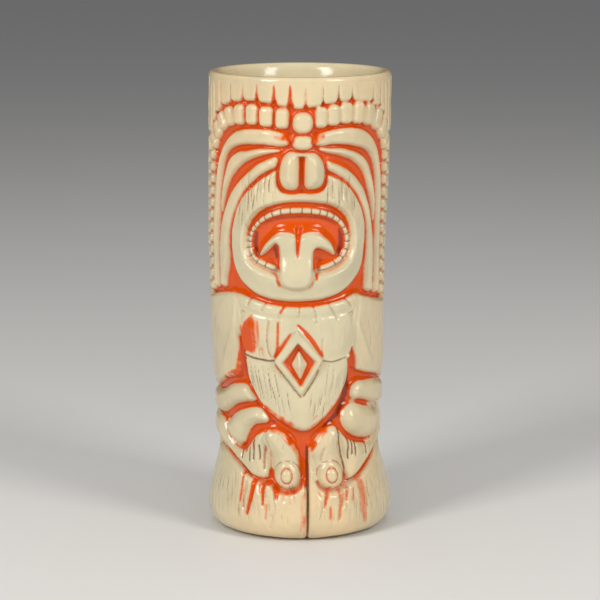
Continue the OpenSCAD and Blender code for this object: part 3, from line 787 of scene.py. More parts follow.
        clay.darken(((-26, 113.6, 0.5), (-16, 116, 0.6), (0, 117, 0.6), (16, 116.4, 0.6),
                     (27, 114, 0.5)), 0.6, 0.7)
        clay.darken(((-15, 105.4, 0.8), (-13.6, 102.6, 0.9)), 0.9, 1.0)
        clay.darken(((13.6, 102, 0.8), (16, 101.4, 0.9)), 0.9, 0.6)


@dataclass
class Torso:
    """The collar, the chest and the belly's shield, with the diamond set over their joint."""

    collar: Points = (
        (-43.6, 87.6), (-38, 87.4), (-30, 86.4), (-20, 85.2), (-10, 84.5), (0, 84.3), (12, 84.5),
        (22, 85.3),
        (32, 86.2), (38, 87.2), (42.6, 87.6), (41.4, 84), (36, 82.7), (27, 82), (11, 81.2), (0, 81),
        (-12, 81.2), (-23, 81.6), (-33, 82.8), (-41, 84.2),
    )
    chest: Points = (
        (-38.6, 81), (-33, 81.8), (-23, 80.9), (-12, 80.4), (0, 80.2), (11, 80.4), (27, 81.3),
        (36, 81.7),
        (38.8, 78), (39.6, 73), (38.6, 68.6), (35.6, 66.6), (28, 65.6), (17, 65.3), (0, 65.2),
        (-16, 65.5),
        (-27, 65.9), (-36, 67.2), (-39.8, 70), (-40.6, 75),
    )
    belly: Points = (
        (-36.6, 65.9), (-27, 65.2), (-16, 64.9), (0, 64.6), (17, 64.7), (28, 65), (35.2, 65.6),
        (36, 62),
        (35, 58), (32, 53.8), (27.4, 49.6), (21.4, 45.8), (15, 43), (9.4, 40.9), (3.4, 39.9),
        (-3, 40.9),
        (-11, 42.9), (-19, 45.4), (-26, 48.8), (-31.2, 52.8), (-35, 57.2), (-36.8, 61.6),
    )
    diamond: Points = ((-0.6, 76.6), (-15.6, 65.4), (1.8, 53.2), (16.4, 65.8))
    recess: Points = ((0.4, 71.8), (-9.6, 64.7), (1.8, 56.2), (11.4, 65))
    gem: Points = ((0.9, 69.4), (-4.2, 64.1), (1.5, 57.8), (6.4, 64.2))

    def carve(self, clay: Clay) -> None:
        """Raise the members, keel the belly, and cut the grain."""
        clay.member("collar", self.collar, 1.9, 1.1, 0.2, 2)
        clay.member("chest", self.chest, 2.2, 1.2, 0.5, 8)
        clay.member("belly", self.belly, 2.2, 1.6, 0.9, 9)
        clay.bridge(((-41, 83.4), (-33, 82.2), (-23, 81.2), (-12, 80.8), (0, 80.6), (12, 80.8),
                     (27, 81.7), (36, 82.3),
                     (41, 83.6)), 1.85, 1.0, 0.97)
        clay.bridge(((-44, 86.2), (-43, 84), (-42, 82), (-41.6, 78), (-42, 74.6)), 2.1, 1.4, 0.97)
        clay.bridge(((43.6, 86.2), (42.8, 84), (42, 82), (41, 79), (40.6, 74), (40.4, 70)), 2.1,
                    1.5, 0.97)
        clay.bridge(((-37, 66.8), (-27, 65.5), (-17, 65.2)), 2.65, 1.0, 0.97)
        clay.bridge(((18, 65), (28, 65.3), (36, 66.2)), 2.65, 1.0, 0.97)
        self.set_diamond(clay)
        keel = np.exp(-((clay.turn - 3) / 7.5)**2) * smooth_step((60 - clay.up) / 14)
        clay.height += 1.3 * keel * smooth_step(clay.members["belly"] / 2.5)
        for path in (((-31.6, 87.8), (-34, 84.6)), ((-21, 86), (-24, 83)),
                     ((10.6, 85), (12.4, 81.6), (12.8, 79)),
                     ((21, 86), (24, 83), (27.4, 80.4)), ((33.6, 87), (38, 84)),
                     ((1.6, 84.4), (1, 81)),
                     ((40.6, 89), (46, 87.4), (53, 86.4))):
            clay.groove(path, 0.6, 0.35, 0.35, 0.42)
        clay.groove(((-8.4, 85), (-11, 82.6), (-12.6, 79.6), (-12.9, 74), (-13.4, 69.6),
                     (-15, 66.4)), 0.75, 0.75,
                    0.2, 0.5)
        clay.groove(((-19.4, 79.6), (-20.2, 74), (-19.6, 69), (-17.6, 66.4)), 0.6, 0.45, 0.3, 0.42)
        clay.groove(((-26.2, 66.4), (-25.6, 69.4), (-23.8, 69.2), (-23.6, 66.4)), 0.3, 0.5, 0.2,
                    0.4)
        clay.groove(((16.6, 72.8), (16.4, 69), (16.8, 66)), 0.5, 0.3, 0.3, 0.4)
        clay.grain((-36, 36, 69, 80), 16, (2, 7), 0.14, 0.22)
        clay.grain((-33, -12, 49, 65), 8, (9, 15), 0.32, 0.6, lean=-3.0, width=0.26)
        clay.grain((-16, 0, 43, 57), 6, (7, 12), 0.28, 0.5, lean=-3.0, width=0.26)
        clay.grain((17, 32, 50, 64.6), 6, (8, 13), 0.3, 0.5, lean=3.0, width=0.26)
        clay.grain((5, 18, 43, 56), 5, (6, 11), 0.28, 0.5, lean=3.0, width=0.28)
        clay.grain((-34, 33, 48, 64), 20, (3, 8), 0.14, 0.16, width=0.3)
        clay.groove(((-38, 67), (-30, 65.9), (-20, 65.3), (-15.4, 65.5)), 0.5, 0.4, 0.75, 0.4)
        clay.groove(((17, 65.4), (24, 64.8), (33.6, 66)), 0.45, 0.2, 0.6, 0.36)
        clay.smear(((-34, 55, 0.7), (-28, 50, 1.1), (-20, 46.6, 1.5), (-12, 44.2, 1.5),
                    (-4, 42.4, 1.2)), 1.3, 0.6)
        clay.smear(((35, 57, 0.8), (31, 52.4, 1.3), (24, 47.8, 1.3), (16, 44, 1.0), (9, 41.6, 0.8)),
                   1.2, 0.55)
        clay.smear(((-14, 45.4), (-8, 44.4)), 0.6, 0.5)
        clay.smear(((9, 44.2), (13, 46)), 0.5, 0.45)
        # Painted shade: the floors of the valleys between the belly and the arms are darkened to a
        # deep red
        clay.darken(((38, 59, 0.7), (37, 53.4, 1.2), (32.4, 47.8, 1.4), (27, 44.2, 1.1),
                     (18, 40.6, 0.6)), 1.2, 1.2)
        clay.darken(((-38, 57, 0.45), (-34, 50.8, 0.65), (-27, 46, 0.6), (-18, 42.4, 0.5)), 0.6,
                    0.9)
        clay.wipe(((40.8, 82, 1.4), (40.6, 76, 1.4), (40.2, 70, 1.2)), 1.4, 0.95)

    def set_diamond(self, clay: Clay) -> None:
        """Raise the diamond's frame over the chest and the belly, and sink its ground."""
        outer, ground, gem = (self.sharp(p) for p in (self.diamond, self.recess, self.gem))
        win = clay.window(outer[:, 0], outer[:, 1], 3)
        rim, sunk, jewel = (clay.inside(p, win) for p in (outer, ground, gem))
        base = clay.height[win].copy()
        lift = smooth_step((rim + 0.5) / 0.8)
        frame_top = 3.9 - 0.25 * np.clip((1.5 - np.abs(sunk + 1.6)) / 1.5, -1, 0)
        height = base * (1 - lift) + frame_top * lift
        sink = smooth_step((sunk + 0.4) / 0.8)
        height = height * (1 - sink) + 1.1 * sink
        top = 1.1 + 2.2 * np.clip((jewel + 0.3) / 2.6, 0, 1)**0.75
        keel = 0.5 * np.exp(-((clay.turn[win] - 1.2) / 1.3)**2)
        clay.height[win] = np.where(jewel > -0.3,
                                    np.maximum(height, top + keel * np.clip(jewel, 0, 1)), height)
        clay.members["diamond_frame"] = np.full(clay.x.shape, OUTSIDE, np.float32)
        clay.members["diamond_frame"][win] = np.minimum(rim + clay.foot, -(sunk - 0.3))
        clay.members["diamond_gem"] = np.full(clay.x.shape, OUTSIDE, np.float32)
        clay.members["diamond_gem"][win] = jewel + clay.foot
        for name in ("chest", "belly"):
            clay.members[name][win] = np.minimum(clay.members[name][win], -(rim + clay.foot))
        clay.stain[win] = np.maximum(clay.stain[win], smooth_step((sunk - 0.1) / 0.4)
                                     * (1 - smooth_step((jewel + 0.5) / 0.5)))
        clay.wash[win] *= 1 - 0.9 * smooth_step((rim - 0.2) / 0.5) * (1
                                                                      - smooth_step((sunk + 0.5)
                                                                                    / 0.4))
        clay.wash[win] *= 1 - 0.9 * smooth_step((jewel - 0.1) / 0.5)
        clay.groove(((0.6, 78.2, 0.5), (6, 75.2, 0.7), (11, 71.6, 0.8), (16, 67.2, 0.5)), 0.5, 0.95,
                    width=0.75)
        clay.groove(((-4, 75.4, 0.3), (-9, 71.4, 0.75), (-13.4, 67.8, 0.7), (-16.4, 65.6, 0.4)),
                    0.5, 0.7, width=0.7)
        clay.groove(((-15, 64.2, 0.4), (-7, 58.6, 0.45), (1.4, 52.6, 0.4)), 0.3, 0.0, 0.55,
                    width=0.45)
        clay.groove(((3.4, 53, 0.4), (9, 57.6, 0.5), (13.4, 62, 0.4)), 0.3, 0.25, 0.5, width=0.45)

    @staticmethod
    def sharp(points: Points) -> np.ndarray:
        """A closed line with straight sides, in millimetres."""
        return np.array(points, float) * [DEG, 1]


@dataclass
class Arms:
    """Caped sleeves, cuffs and fists."""

    sleeve_left: Points = (
        (-45, 87.6), (-55, 87.6), (-68, 86.4), (-80, 85.2), (-97, 84.6), (-97, 52.4), (-88, 52.2),
        (-80, 52.6),
        (-70, 54.2), (-60, 56.3), (-50, 57.8), (-44.6, 58.6), (-43, 62), (-43.2, 67), (-44, 72),
        (-43.4, 78), (-43.6, 84.4),
    )
    sleeve_right: Points = (
        (44.6, 87.4), (52, 86.6), (62, 85), (72, 84), (82, 83.6), (97, 83.2), (97, 54.2),
        (88, 54.8), (78, 56),
        (66, 57.4), (56, 58.7), (48, 60.1), (43.4, 61.4), (41.8, 68), (41.8, 74), (42.4, 79),
        (43.6, 84.4),
    )
    cuff_left: Points = (
        (-36.4, 54.4), (-40.7, 55.4), (-47, 55.2), (-54, 54.4), (-62.7, 52.4), (-70, 50.9),
        (-80, 50.2), (-97, 50), (-97, 43.2),
        (-85, 43), (-75, 42.6), (-66, 43.2), (-59, 45), (-50, 47.4), (-41, 49), (-34, 49.6),
        (-31.6, 50.8),
    )
    cuff_right: Points = (
        (39.6, 53.6), (42, 55.2), (48, 56.2), (55, 55.8), (63.6, 55.6), (72, 54.8), (80, 53.6),
        (97, 52.4), (97, 44.6),
        (85, 45), (75, 45.8), (66, 46.7), (56, 48.3), (48, 49.4), (42.6, 49.8), (39.6, 51.4),
    )
    fist_left: Points = (
        (-21.4, 43.6), (-25, 46.8), (-30, 47.8), (-40, 46.7), (-50, 44.6), (-58, 41.6), (-61, 39.2),
        (-58.6, 36),
        (-53.4, 33.4), (-48, 32.6), (-43.4, 33.6), (-40.4, 36.2), (-37.2, 38.9), (-32.6, 41.2),
        (-28, 42), (-24, 42.3),
    )
    fist_right: Points = (
        (31.2, 43.8), (35, 47.4), (43, 48.5), (54, 46.9), (64, 45.6), (74, 44.6), (84, 43.6),
        (89.4, 41.4), (88.6, 38),
        (83, 35.6), (75, 34.3), (66, 33.9), (56, 34.4), (47, 35.5), (41, 36.8), (36.6, 38.4),
        (33, 40.8),
    )

    def carve(self, clay: Clay) -> None:
        """Raise the arms, with a crease down each sleeve and full backs to the hands."""
        for side, parts in ((Side.LEFT, (self.sleeve_left, self.cuff_left, self.fist_left)),
                            (Side.RIGHT, (self.sleeve_right, self.cuff_right, self.fist_right))):
            clay.member(f"sleeve_{side.word}", parts[0], 2.3, 1.6, 0.2, 5)
            clay.member(f"cuff_{side.word}", parts[1], 2.2, 2.6, 0.7, 3.4)
            clay.member(f"fist_{side.word}", parts[2], 2.1, 3.0, 1.7, 5)
        clay.swell((90, 40), 24, 8, -1.7, ("fist_right",))
        self.crease(clay, "sleeve_left", ((-42, 84), (-46, 76), (-52, 68.6), (-60, 60.6)), -1)
        self.crease(clay, "sleeve_right", ((38, 83.4), (43.4, 76.6), (50.4, 68.6), (60, 59.8)), 1)
        clay.smear(((-41.4, 58.6, 2.2), (-47, 58.8, 1.9), (-54, 58, 1.2), (-61, 56, 0.6)), 1.8,
                   0.85)
        clay.smear(((41, 58.6, 1.6), (47, 57.8, 1.6), (56, 57.2, 1.2), (68, 56.8, 0.6)), 1.4, 0.85)
        clay.smear(((-40.4, 77, 0.6), (-41.2, 71, 1.2), (-42.2, 66, 1.7), (-43.2, 62, 2.0)), 1.5,
                   0.7)
        clay.smear(((39.6, 68.6, 0.8), (41.4, 64.6, 1.6), (41, 60, 1.8)), 1.6, 0.7)
        # Painted shade: the hollows between the chest, the sleeves and the cuffs are darkened to a
        # deep red
        clay.darken(((-41.2, 68, 0.5), (-41, 62, 0.7), (-39.6, 58, 0.7)), 0.6, 0.7)
        clay.darken(((41.4, 61.4, 0.4), (50, 59.6, 0.35), (60, 58.2, 0.3), (70, 57, 0.3)), 0.4, 1.0)
        clay.wipe(((62, 46.2, 0.9), (76, 44.8, 1.2), (92, 44, 1.6)), 1.2, 0.9)
        clay.wipe(((41, 49, 0.8), (44.4, 49, 0.8)), 0.8, 0.7)
        clay.grain((-95, -50, 64, 84), 16, (4, 10), 0.07, 0.1)
        clay.grain((48, 95, 64, 84), 16, (4, 11), 0.08, 0.14, lean=3)
        clay.groove(((-44, 84), (-45, 79), (-48, 73), (-54, 66)), 0.15, 0, 0.12, 0.5)
        clay.groove(((54, 78), (56.6, 73), (57.8, 69)), 0.25, 0, 0.3, 0.4)

    def crease(self, clay: Clay, name: str, path: Points, side: int) -> None:
        """Fold a sleeve along a line, so that its inner panel falls away to the chest.

        Args:
            clay: the board.
            name: the sleeve.
            path: the fold, from the shoulder to the elbow.
            side: -1 for the left sleeve and 1 for the right.
        """
        p = np.array(path)
        at = np.interp(clay.up, p[::-1, 1], p[::-1, 0])
        away = side * (clay.turn - at) * DEG
        fall = 0.15 * np.clip(-away, 0, 7) - 0.5 * np.exp(-(away / 1.6)**2) * (away > -3)
        reach = smooth_step((clay.up - p[-1, 1] + 2) / 8) * smooth_step((90 - clay.up) / 6)
        clay.height -= fall * reach * smooth_step(clay.members[name] / 1.5)


@dataclass
class Legs:
    """Thighs with finger grooves, knees with rings, and the two blocks of the legs."""

    thigh_left: Points = (
        (-25, 38.9), (-28.5, 38.1), (-31.6, 37.2), (-34.8, 35.8), (-37.8, 33.8), (-41.6, 32.1),
        (-47, 31), (-53.8, 31.7),
        (-60, 34.3), (-64.4, 38), (-70, 40.6), (-82, 41.4), (-97, 41.6), (-97, 31.4), (-85, 31),
        (-75, 30.6),
        (-65, 29.6), (-55, 27.9), (-45, 25.6), (-37, 23.2), (-30, 22), (-24, 22.2), (-21.8, 24.4),
        (-22.2, 29),
        (-24.4, 33), (-26, 37),
    )
    thigh_right: Points = (
        (31, 38.6), (35, 36.6), (40, 35.2), (46, 33.8), (56, 32.7), (66, 32.3), (75, 32.7),
        (83.6, 34),
        (90, 36.8), (92, 40.4), (97, 42.2), (97, 32), (88, 31.6), (78, 30.2), (70, 28.6),
        (60, 26.2), (50, 23.8),
        (43, 21.9), (37, 21.2), (34.6, 22.8), (35, 26.4), (33.8, 30), (31.6, 33.4), (31, 37),
    )
    knee_left: Points = (
        (-22.4, 39.6), (-15.6, 40), (-9, 38.2), (-4.2, 35.8), (-1, 32.8), (0.8, 29.2), (1.2, 25.8),
        (0.6, 22.9),
        (-1, 20.7), (-4.4, 19.5), (-9, 19.1), (-13.8, 19.9), (-17.4, 22), (-19, 25), (-19.8, 29),
        (-22.2, 33), (-24, 37),
    )
    knee_right: Points = (
        (8.6, 34.4), (11.6, 37), (15.6, 39.3), (20.4, 40.6), (25.6, 40.8), (28.4, 39.6),
        (29.2, 36.6), (29.2, 33.4), (31.4, 30),
        (32.9, 26.4), (32.2, 22.6), (29.4, 20), (25, 18.9), (20, 18.8), (15.6, 19.8), (12.6, 22),
        (11, 25.4),
        (9.2, 29), (7.8, 31.6),
    )
    leg_left: Points = (
        (4.1, 0.62), (4.2, 10), (4.4, 17.6), (3.2, 22.2), (1.4, 20.2), (-1.6, 18.6), (-5, 17.9),
        (-9.4, 17.6), (-14.6, 18.2),
        (-19, 20.4), (-24, 20.9), (-30, 20.6), (-37, 21.8), (-45, 24.2), (-55, 26.5), (-65, 28.2),
        (-75, 29.2),
        (-86, 29.6), (-97, 29.8), (-97, 0.62), (-80, 0.62), (-60, 0.62), (-40, 0.62), (-20, 0.62),
    )
    leg_right: Points = (
        (5.6, 0.62), (5.7, 12), (6.0, 22), (6.4, 29), (7, 32), (8.4, 28.6), (9.8, 25), (11.4, 21),
        (14.6, 18.4), (20, 17.3), (25.4, 17.4), (30.6, 18.6), (35, 19.6), (42, 20.5), (50, 22.4),
        (60, 24.8),
        (70, 27.2), (78, 28.8), (88, 30.2), (97, 30.6), (97, 0.62), (80, 0.62), (60, 0.62),
        (40, 0.62), (22, 0.62),
    )
    knobs: tuple[tuple[str, float, float, float, float], ...] = (
        ("left", -8.2, 24.2, 3.5, 2.75), ("right", 21.0, 24.1, 3.6, 2.75),
    )

    def carve(self, clay: Clay) -> None:
        """Raise the legs, and let a ring into each knee."""
        for side, parts in ((Side.LEFT, (self.thigh_left, self.knee_left, self.leg_left)),
                            (Side.RIGHT, (self.thigh_right, self.knee_right, self.leg_right))):
            clay.member(f"thigh_{side.word}", parts[0], 2.0, 2.2, 1.1, 6)
            clay.member(f"knee_{side.word}", parts[1], 2.4, 2.4, 1.6, 6)
            clay.member(f"leg_{side.word}", parts[2], 2.25, 1.6, 0.15, 5)
        for word, turn, up, half_w, half_h in self.knobs:
            self.knob(clay, word, turn, up, half_w, half_h)
        clay.bridge(((-24.2, 37.4), (-24.2, 36), (-22.8, 33.4), (-20.8, 29), (-20.4, 26.4)), 1.75,
                    0.95, 0.93)
        clay.bridge(((30, 38), (30, 35), (32, 30.8), (34, 27), (33.8, 24.6)), 1.8, 0.95, 0.93)
        clay.bridge(((7.6, 33, 0.9), (8.6, 30, 0.9), (10.2, 26, 0.9), (11.6, 22.4, 0.8)), 2.1, 0.9,
                    0.97)
        clay.bridge(((-61.4, 40.6), (-59.6, 36.6), (-55, 33.4), (-50, 32.6)), 1.4, 0.75, 0.8)
        clay.bridge(((62, 33), (75, 33.5), (84, 34.8), (90.6, 38)), 1.4, 0.8, 0.85)
        self.fingers(clay)
        self.cleft(clay)
        self.drips(clay)

    def knob(self, clay: Clay, word: str, turn: float, up: float, half_w: float,
             half_h: float) -> None:
        """Swell a knee to a knob, and cut its ring."""
        knee = f"knee_{word}"
        clay.swell((turn, up), 8.6, 5.0, 1.4, (knee,), 5)
        clay.swell((turn, up), half_w * 0.9, half_h * 0.9, 0.35, (knee,), 4)
        rim = (np.hypot((clay.turn - turn) / 9.2, (clay.up - up) / 5.1) - 1) * 5.0
        upper = smooth_step((clay.up - up + 3.5) / 4)
        outer = smooth_step(((clay.turn - turn) * (1 if turn > 0 else -1) + 4) / 8)
        clay.height -= 0.4 * np.exp(-(rim / 0.45)**2) * upper * smooth_step(clay.members[knee]
                                                                            / 1.0)
        clay.line = np.maximum(clay.line,
                               0.4 * np.exp(-(rim / 0.4)**2) * upper * (clay.members[knee] > 0.3))
        clay.stain = np.maximum(clay.stain,
                                0.5 * np.exp(-(rim / 0.4)**4) * upper * (clay.members[knee] > 0.4)
                                * (outer if turn > 0 else 0.4 * outer))
        x = (clay.turn - turn) / half_w
        z = (clay.up - up) / half_h
        r = np.hypot(x, z)
        size = half_h * 0.92
        off = (r - 1) * size
        ring = np.exp(-(off / 0.36)**2)
        clay.height -= 0.75 * ring
        clay.stain = np.maximum(clay.stain, 0.75 * np.exp(-(off / 0.34)**4))
        clay.line = np.maximum(clay.line, 0.4 * np.exp(-(off / 0.3)**4))
        inside = 0.62 - np.abs(off)
        clay.members[f"knee_ring_{word}"] = inside.astype(np.float32)
        clay.members[knee] = np.minimum(clay.members[knee], -inside).astype(np.float32)

    def fingers(self, clay: Clay) -> None:
        """Cut the grooves between the fingers on the thighs and beside the knees."""
        for path in (((-33.6, 28.6), (-33.4, 35.6)), ((-28.6, 29), (-28.8, 34)),
                     ((-37, 28), (-37.6, 32.4)),
                     ((-45, 28.4), (-45.6, 31)), ((37.4, 28.6), (36.8, 36)),
                     ((40.6, 30), (41, 34.6)), ((44, 29.6), (44.6, 34)),
                     ((57, 29), (58, 32.6))):
            clay.groove(path, 0.6, 0.3, 0.6, 0.48)
        clay.smear(((-33.5, 35.6, 0.9), (-33.6, 32, 0.5)), 0.7, 0.6)
        clay.groove(((-25.2, 25.4, 0.5), (-25.6, 28.4, 0.8), (-25.4, 31, 0.6), (-24.6, 33.6, 0.4)),
                    0.6, 0.36, 0.4, 0.8)
        clay.groove(((-21, 22.6, 0.5), (-20.8, 27, 0.55), (-21.2, 32.2, 0.3)), 0.8, 0.9, 0.2, 0.6)
        clay.smear(((-21, 23, 0.5), (-20.9, 27, 0.45), (-21.2, 31.4, 0.3)), 0.45, 0.6)
        clay.groove(((-25, 39.6, 0.4), (-24, 36, 0.4), (-22, 32.6, 0.35)), 0.5, 0.35, 0.3, 0.4)
        clay.groove(((29.6, 39.6, 0.45), (29.8, 35, 0.4), (31.8, 30.8, 0.45), (33.6, 27, 0.5),
                     (33.2, 22.4, 0.4),
                     (30, 19.4, 0.4)), 0.7, 0.5, 0.6, 0.45)
        clay.smear(((29.8, 38, 0.4), (30, 35, 0.35), (32, 30.8, 0.4), (33.7, 27, 0.45),
                    (33.2, 22.6, 0.4)), 0.4, 0.5)
        clay.groove(((-61.6, 40, 0.35), (-59.4, 36, 0.35), (-55, 32.6, 0.4)), 0.4, 0.25, 0.6, 0.35)
        clay.smear(((-41.4, 31.8, 1.3), (-43.4, 33, 1.2)), 1.2, 0.8)
        clay.smear(((-21, 40, 0.6), (-14, 39.4, 1.0), (-8, 37.2, 1.3), (-3.4, 34.2, 1.3),
                    (-0.4, 30.6, 1.1), (0.6, 26, 0.9)),
                   1.2, 0.62)
        clay.smear(((8.8, 32.6, 0.9), (11.4, 35.8, 1.1), (15.4, 38.4, 1.1), (20, 40, 0.8)), 1.1,
                   0.62)
        clay.smear(((32.4, 38, 1.0), (36, 36.6, 1.1), (40, 34.8, 0.9)), 1.0, 0.6)
        clay.smear(((45, 34.4, 0.8), (53, 34, 1.0), (62, 33.8, 0.7), (68, 34.2, 0.4)), 0.8, 0.6)
        clay.groove(((-22.6, 33), (-23.6, 36.6)), 0.35, 0.1, 0.3, 0.4)
        clay.grain((-16, 2, 31, 40), 8, (3, 7), 0.25, 0.34, lean=3, stain=0.12, width=0.38)
        clay.grain((12, 28, 30.6, 39), 7, (3, 6), 0.22, 0.28, lean=-3, stain=0.1, width=0.36)
        clay.groove(((14.6, 29), (17, 33.4)), 0.5, 0.1, 0.35, 0.5)
        clay.groove(((28.6, 41, 0.4), (29.8, 37, 0.5), (29.4, 34, 0.35)), 0.4, 0.5, 0.1, 0.5)
        clay.grain((-95, -42, 25, 30), 18, (2, 4.5), 0.12, 0.2)
        clay.grain((40, 95, 25, 32), 18, (2, 5), 0.12, 0.2)

    def cleft(self, clay: Clay) -> None:
        """Cut the cleft between the legs and the knees."""
        clay.groove(((4.6, 37, 2.0), (4.4, 33, 1.8), (4.0, 28, 1.5), (4.0, 23, 1.0),
                     (4.4, 19, 0.6)), 0.9, 0.95, width=1.0)
        clay.groove(((5.8, 33.6, 0.35), (5.8, 28, 0.5), (5.5, 20, 0.45), (5.0, 10, 0.4),
                     (4.8, 1.0, 0.4)), 1.0, 0.5, 1.0, 0.45)
        # Painted shade: the deep cleft between the legs is darkened to a deep red
        clay.darken(((6.2, 34, 0.5), (5.9, 29, 0.6), (5.6, 22, 0.5)), 0.5, 1.4)
        clay.wipe(((7.4, 30, 0.6), (7.2, 24, 0.6), (6.7, 16, 0.6), (6.5, 3, 0.6)), 0.6, 0.95)
        clay.wipe(((4.9, 19, 0.9), (4.8, 10, 0.9), (4.8, 1, 0.9)), 0.9, 0.85)

    def drips(self, clay: Clay) -> None:
        """Cut the bark of the legs, and let the stain run down some of its grooves."""
        clay.smear(((-36, 22.4, 0.7), (-30, 21.8, 1.2), (-24, 21.2, 1.6), (-19, 20.6, 1.5),
                    (-15, 18.4, 1.1), (-8, 17.6, 0.8),
                    (-1, 18.8, 0.9), (1.8, 21.4, 0.9)), 1.2, 0.72)
        clay.smear(((3.2, 18, 0.5), (2.8, 12, 0.7), (2.8, 7, 0.8), (3, 2, 0.5)), 0.7, 0.5)
        clay.smear(((13, 19.4, 0.35), (20, 18, 0.4), (27, 18, 0.4), (33, 19.4, 0.4)), 0.4, 0.4)
        clay.wipe(((38, 22, 0.5), (50, 24, 0.5), (62, 26.8, 0.5), (76, 30, 0.6)), 0.5, 0.6)
        clay.wipe(((-40, 24, 0.5), (-52, 27, 0.6), (-64, 29.4, 0.6), (-80, 30.6, 0.8)), 0.6, 0.7)
        clay.groove(((-38, 23, 0.4), (-50, 26.4, 0.35), (-64, 29.2, 0.35), (-78, 30.4, 0.3)), 0.2,
                    0, 0.8, 0.35)
        clay.groove(((36, 20.8, 0.4), (50, 23.8, 0.35), (64, 26.8, 0.35), (78, 29.8, 0.3)), 0.2, 0,
                    0.8, 0.35)
        clay.grain((-80, -2, 4, 24), 34, (4, 11), 0.3, 0.5, lean=-3, stain=0.08, width=0.34)
        clay.grain((9, 80, 2, 22), 30, (4, 11), 0.3, 0.46, lean=2, stain=0.06, width=0.34)
        clay.grain((-80, 80, 3, 20), 40, (2, 6), 0.14, 0.14, width=0.4)
        for path, depth, stain in (
            (((-42, 23), (-41.6, 18), (-41.8, 13.4)), 0.5, 0.62),
            (((-38.6, 19), (-38.8, 11.4)), 0.35, 0.4),
            (((-32.6, 21.4, 1.1), (-33, 17, 0.9), (-34.4, 12, 0.9), (-35.6, 9.2, 0.5)), 0.55, 0.8),
            (((-31, 20.4), (-33.4, 14.6)), 0.3, 0.55),
            (((-25.2, 20, 0.9), (-24.8, 16.6, 0.7), (-24.2, 13, 0.4)), 0.5, 0.8),
            (((-27.6, 20), (-28, 17.4)), 0.3, 0.5), (((-21.6, 13.6), (-22, 8.4)), 0.4, 0.5),
            (((-16, 19.8, 1.3), (-15.6, 17, 0.9), (-15.2, 15.4, 0.4)), 0.5, 0.95),
            (((-11, 18.6), (-10.8, 15)), 0.4, 0.4),
            (((-6, 18.6), (-6.4, 14)), 0.35, 0.35), (((-16.8, 11), (-19, 5)), 0.3, 0.3),
            (((20, 19.4, 0.7), (17, 15.4, 0.8), (15.6, 12.4, 0.4)), 0.45, 0.6),
            (((19.6, 12.4), (19.2, 8.4)), 0.35, 0.6),
            (((27.2, 18.4), (26.4, 12), (25.4, 8)), 0.4, 0.55),
            (((29.4, 17), (28.4, 12.6)), 0.3, 0.4),
            (((33, 18.6, 0.8), (31.4, 14.6, 0.7)), 0.4, 0.5), (((38, 18), (36.4, 14)), 0.35, 0.45),
            (((44.6, 21, 2.0), (44.8, 16, 2.2), (44, 11, 1.9), (45.4, 6, 1.1)), 0.3, 0.42),
            (((46.6, 20, 0.7), (46, 12, 0.8), (45, 7, 0.5)), 0.3, 0.5),
            (((12.4, 18), (13.4, 16.4)), 0.3, 0.4),
            (((1.2, 17), (1, 8), (0.2, 4)), 0.25, 0.34),
        ):
            clay.groove(path, depth, stain, 0.15, 0.6)


@dataclass
class Back:
    """Locks of hair from the crown to the shoulders, and a plain panel of bark below them."""

    lock_count: int = 17
    span: float = 196.0
    low: float = 87.8
    high: float = 143.2

    def carve(self, clay: Clay) -> None:
        """Raise the locks, the panel and the legs' rear."""
        pitch = self.span / self.lock_count
        for i in range(self.lock_count):
            turn = 180 + (i - (self.lock_count - 1) / 2) * pitch
            for shift in (0, -360):
                if -180 - pitch < turn + shift < 180 + pitch:
                    self.lock(clay, turn + shift, pitch * 0.45)
        for name, low, high, rise in (("back_panel", 32.0, 86.0, 2.3),
                                      ("leg_back", 0.62, 30.2, 2.3)):
            away = 180 - np.abs(clay.turn)
            d = np.minimum((81 - away) * DEG, np.minimum(clay.up - low, high - clay.up))
            clay.members[name] = (d + clay.foot).astype(np.float32)
            edge = 1 - np.clip((d + clay.foot) / 1.8, 0, 1)
            clay.height = np.maximum(clay.height,
                                     np.where(d > -clay.foot, rise * (1 - edge**ROUNDING), 0))
        for low, high in ((-178, -102), (102, 178)):
            clay.grain((low, high, 36, 84), 40, (6, 16), 0.22, 0.22, width=0.6, stain=0.05)
            clay.grain((low, high, 4, 28), 30, (4, 9), 0.22, 0.22, width=0.6, stain=0.05)
            clay.grain((low, high, 92, 140), 44, (8, 20), 0.2, 0.2, width=0.5, stain=0.05)

    def lock(self, clay: Clay, turn: float, half: float) -> None:
        """Raise one lock, pointed at both ends."""
        outline = ((turn - half, self.low + 1.6), (turn - half, self.high - 1.4), (turn, self.high),
                   (turn + half, self.high - 1.4), (turn + half, self.low + 1.6), (turn, self.low))
        dense = np.array([(p[0] * DEG, p[1]) for p in outline])
        near = dense.copy()
        near[:, 0] = np.clip(near[:, 0], clay.x[0, 0] - 4, clay.x[0, -1] + 4)
        win = clay.window(near[:, 0], near[:, 1], 2)
        d = clay.inside(dense, win)
        name = "hair_locks"
        if name not in clay.members:
            clay.members[name] = np.full(clay.x.shape, OUTSIDE, np.float32)
        clay.members[name][win] = np.maximum(clay.members[name][win], d + clay.foot)
        edge = 1 - np.clip((d + clay.foot) / 2.0, 0, 1)
        clay.height[win] = np.maximum(clay.height[win],
                                      np.where(d > -clay.foot, 2.3 * (1 - edge**ROUNDING), 0))


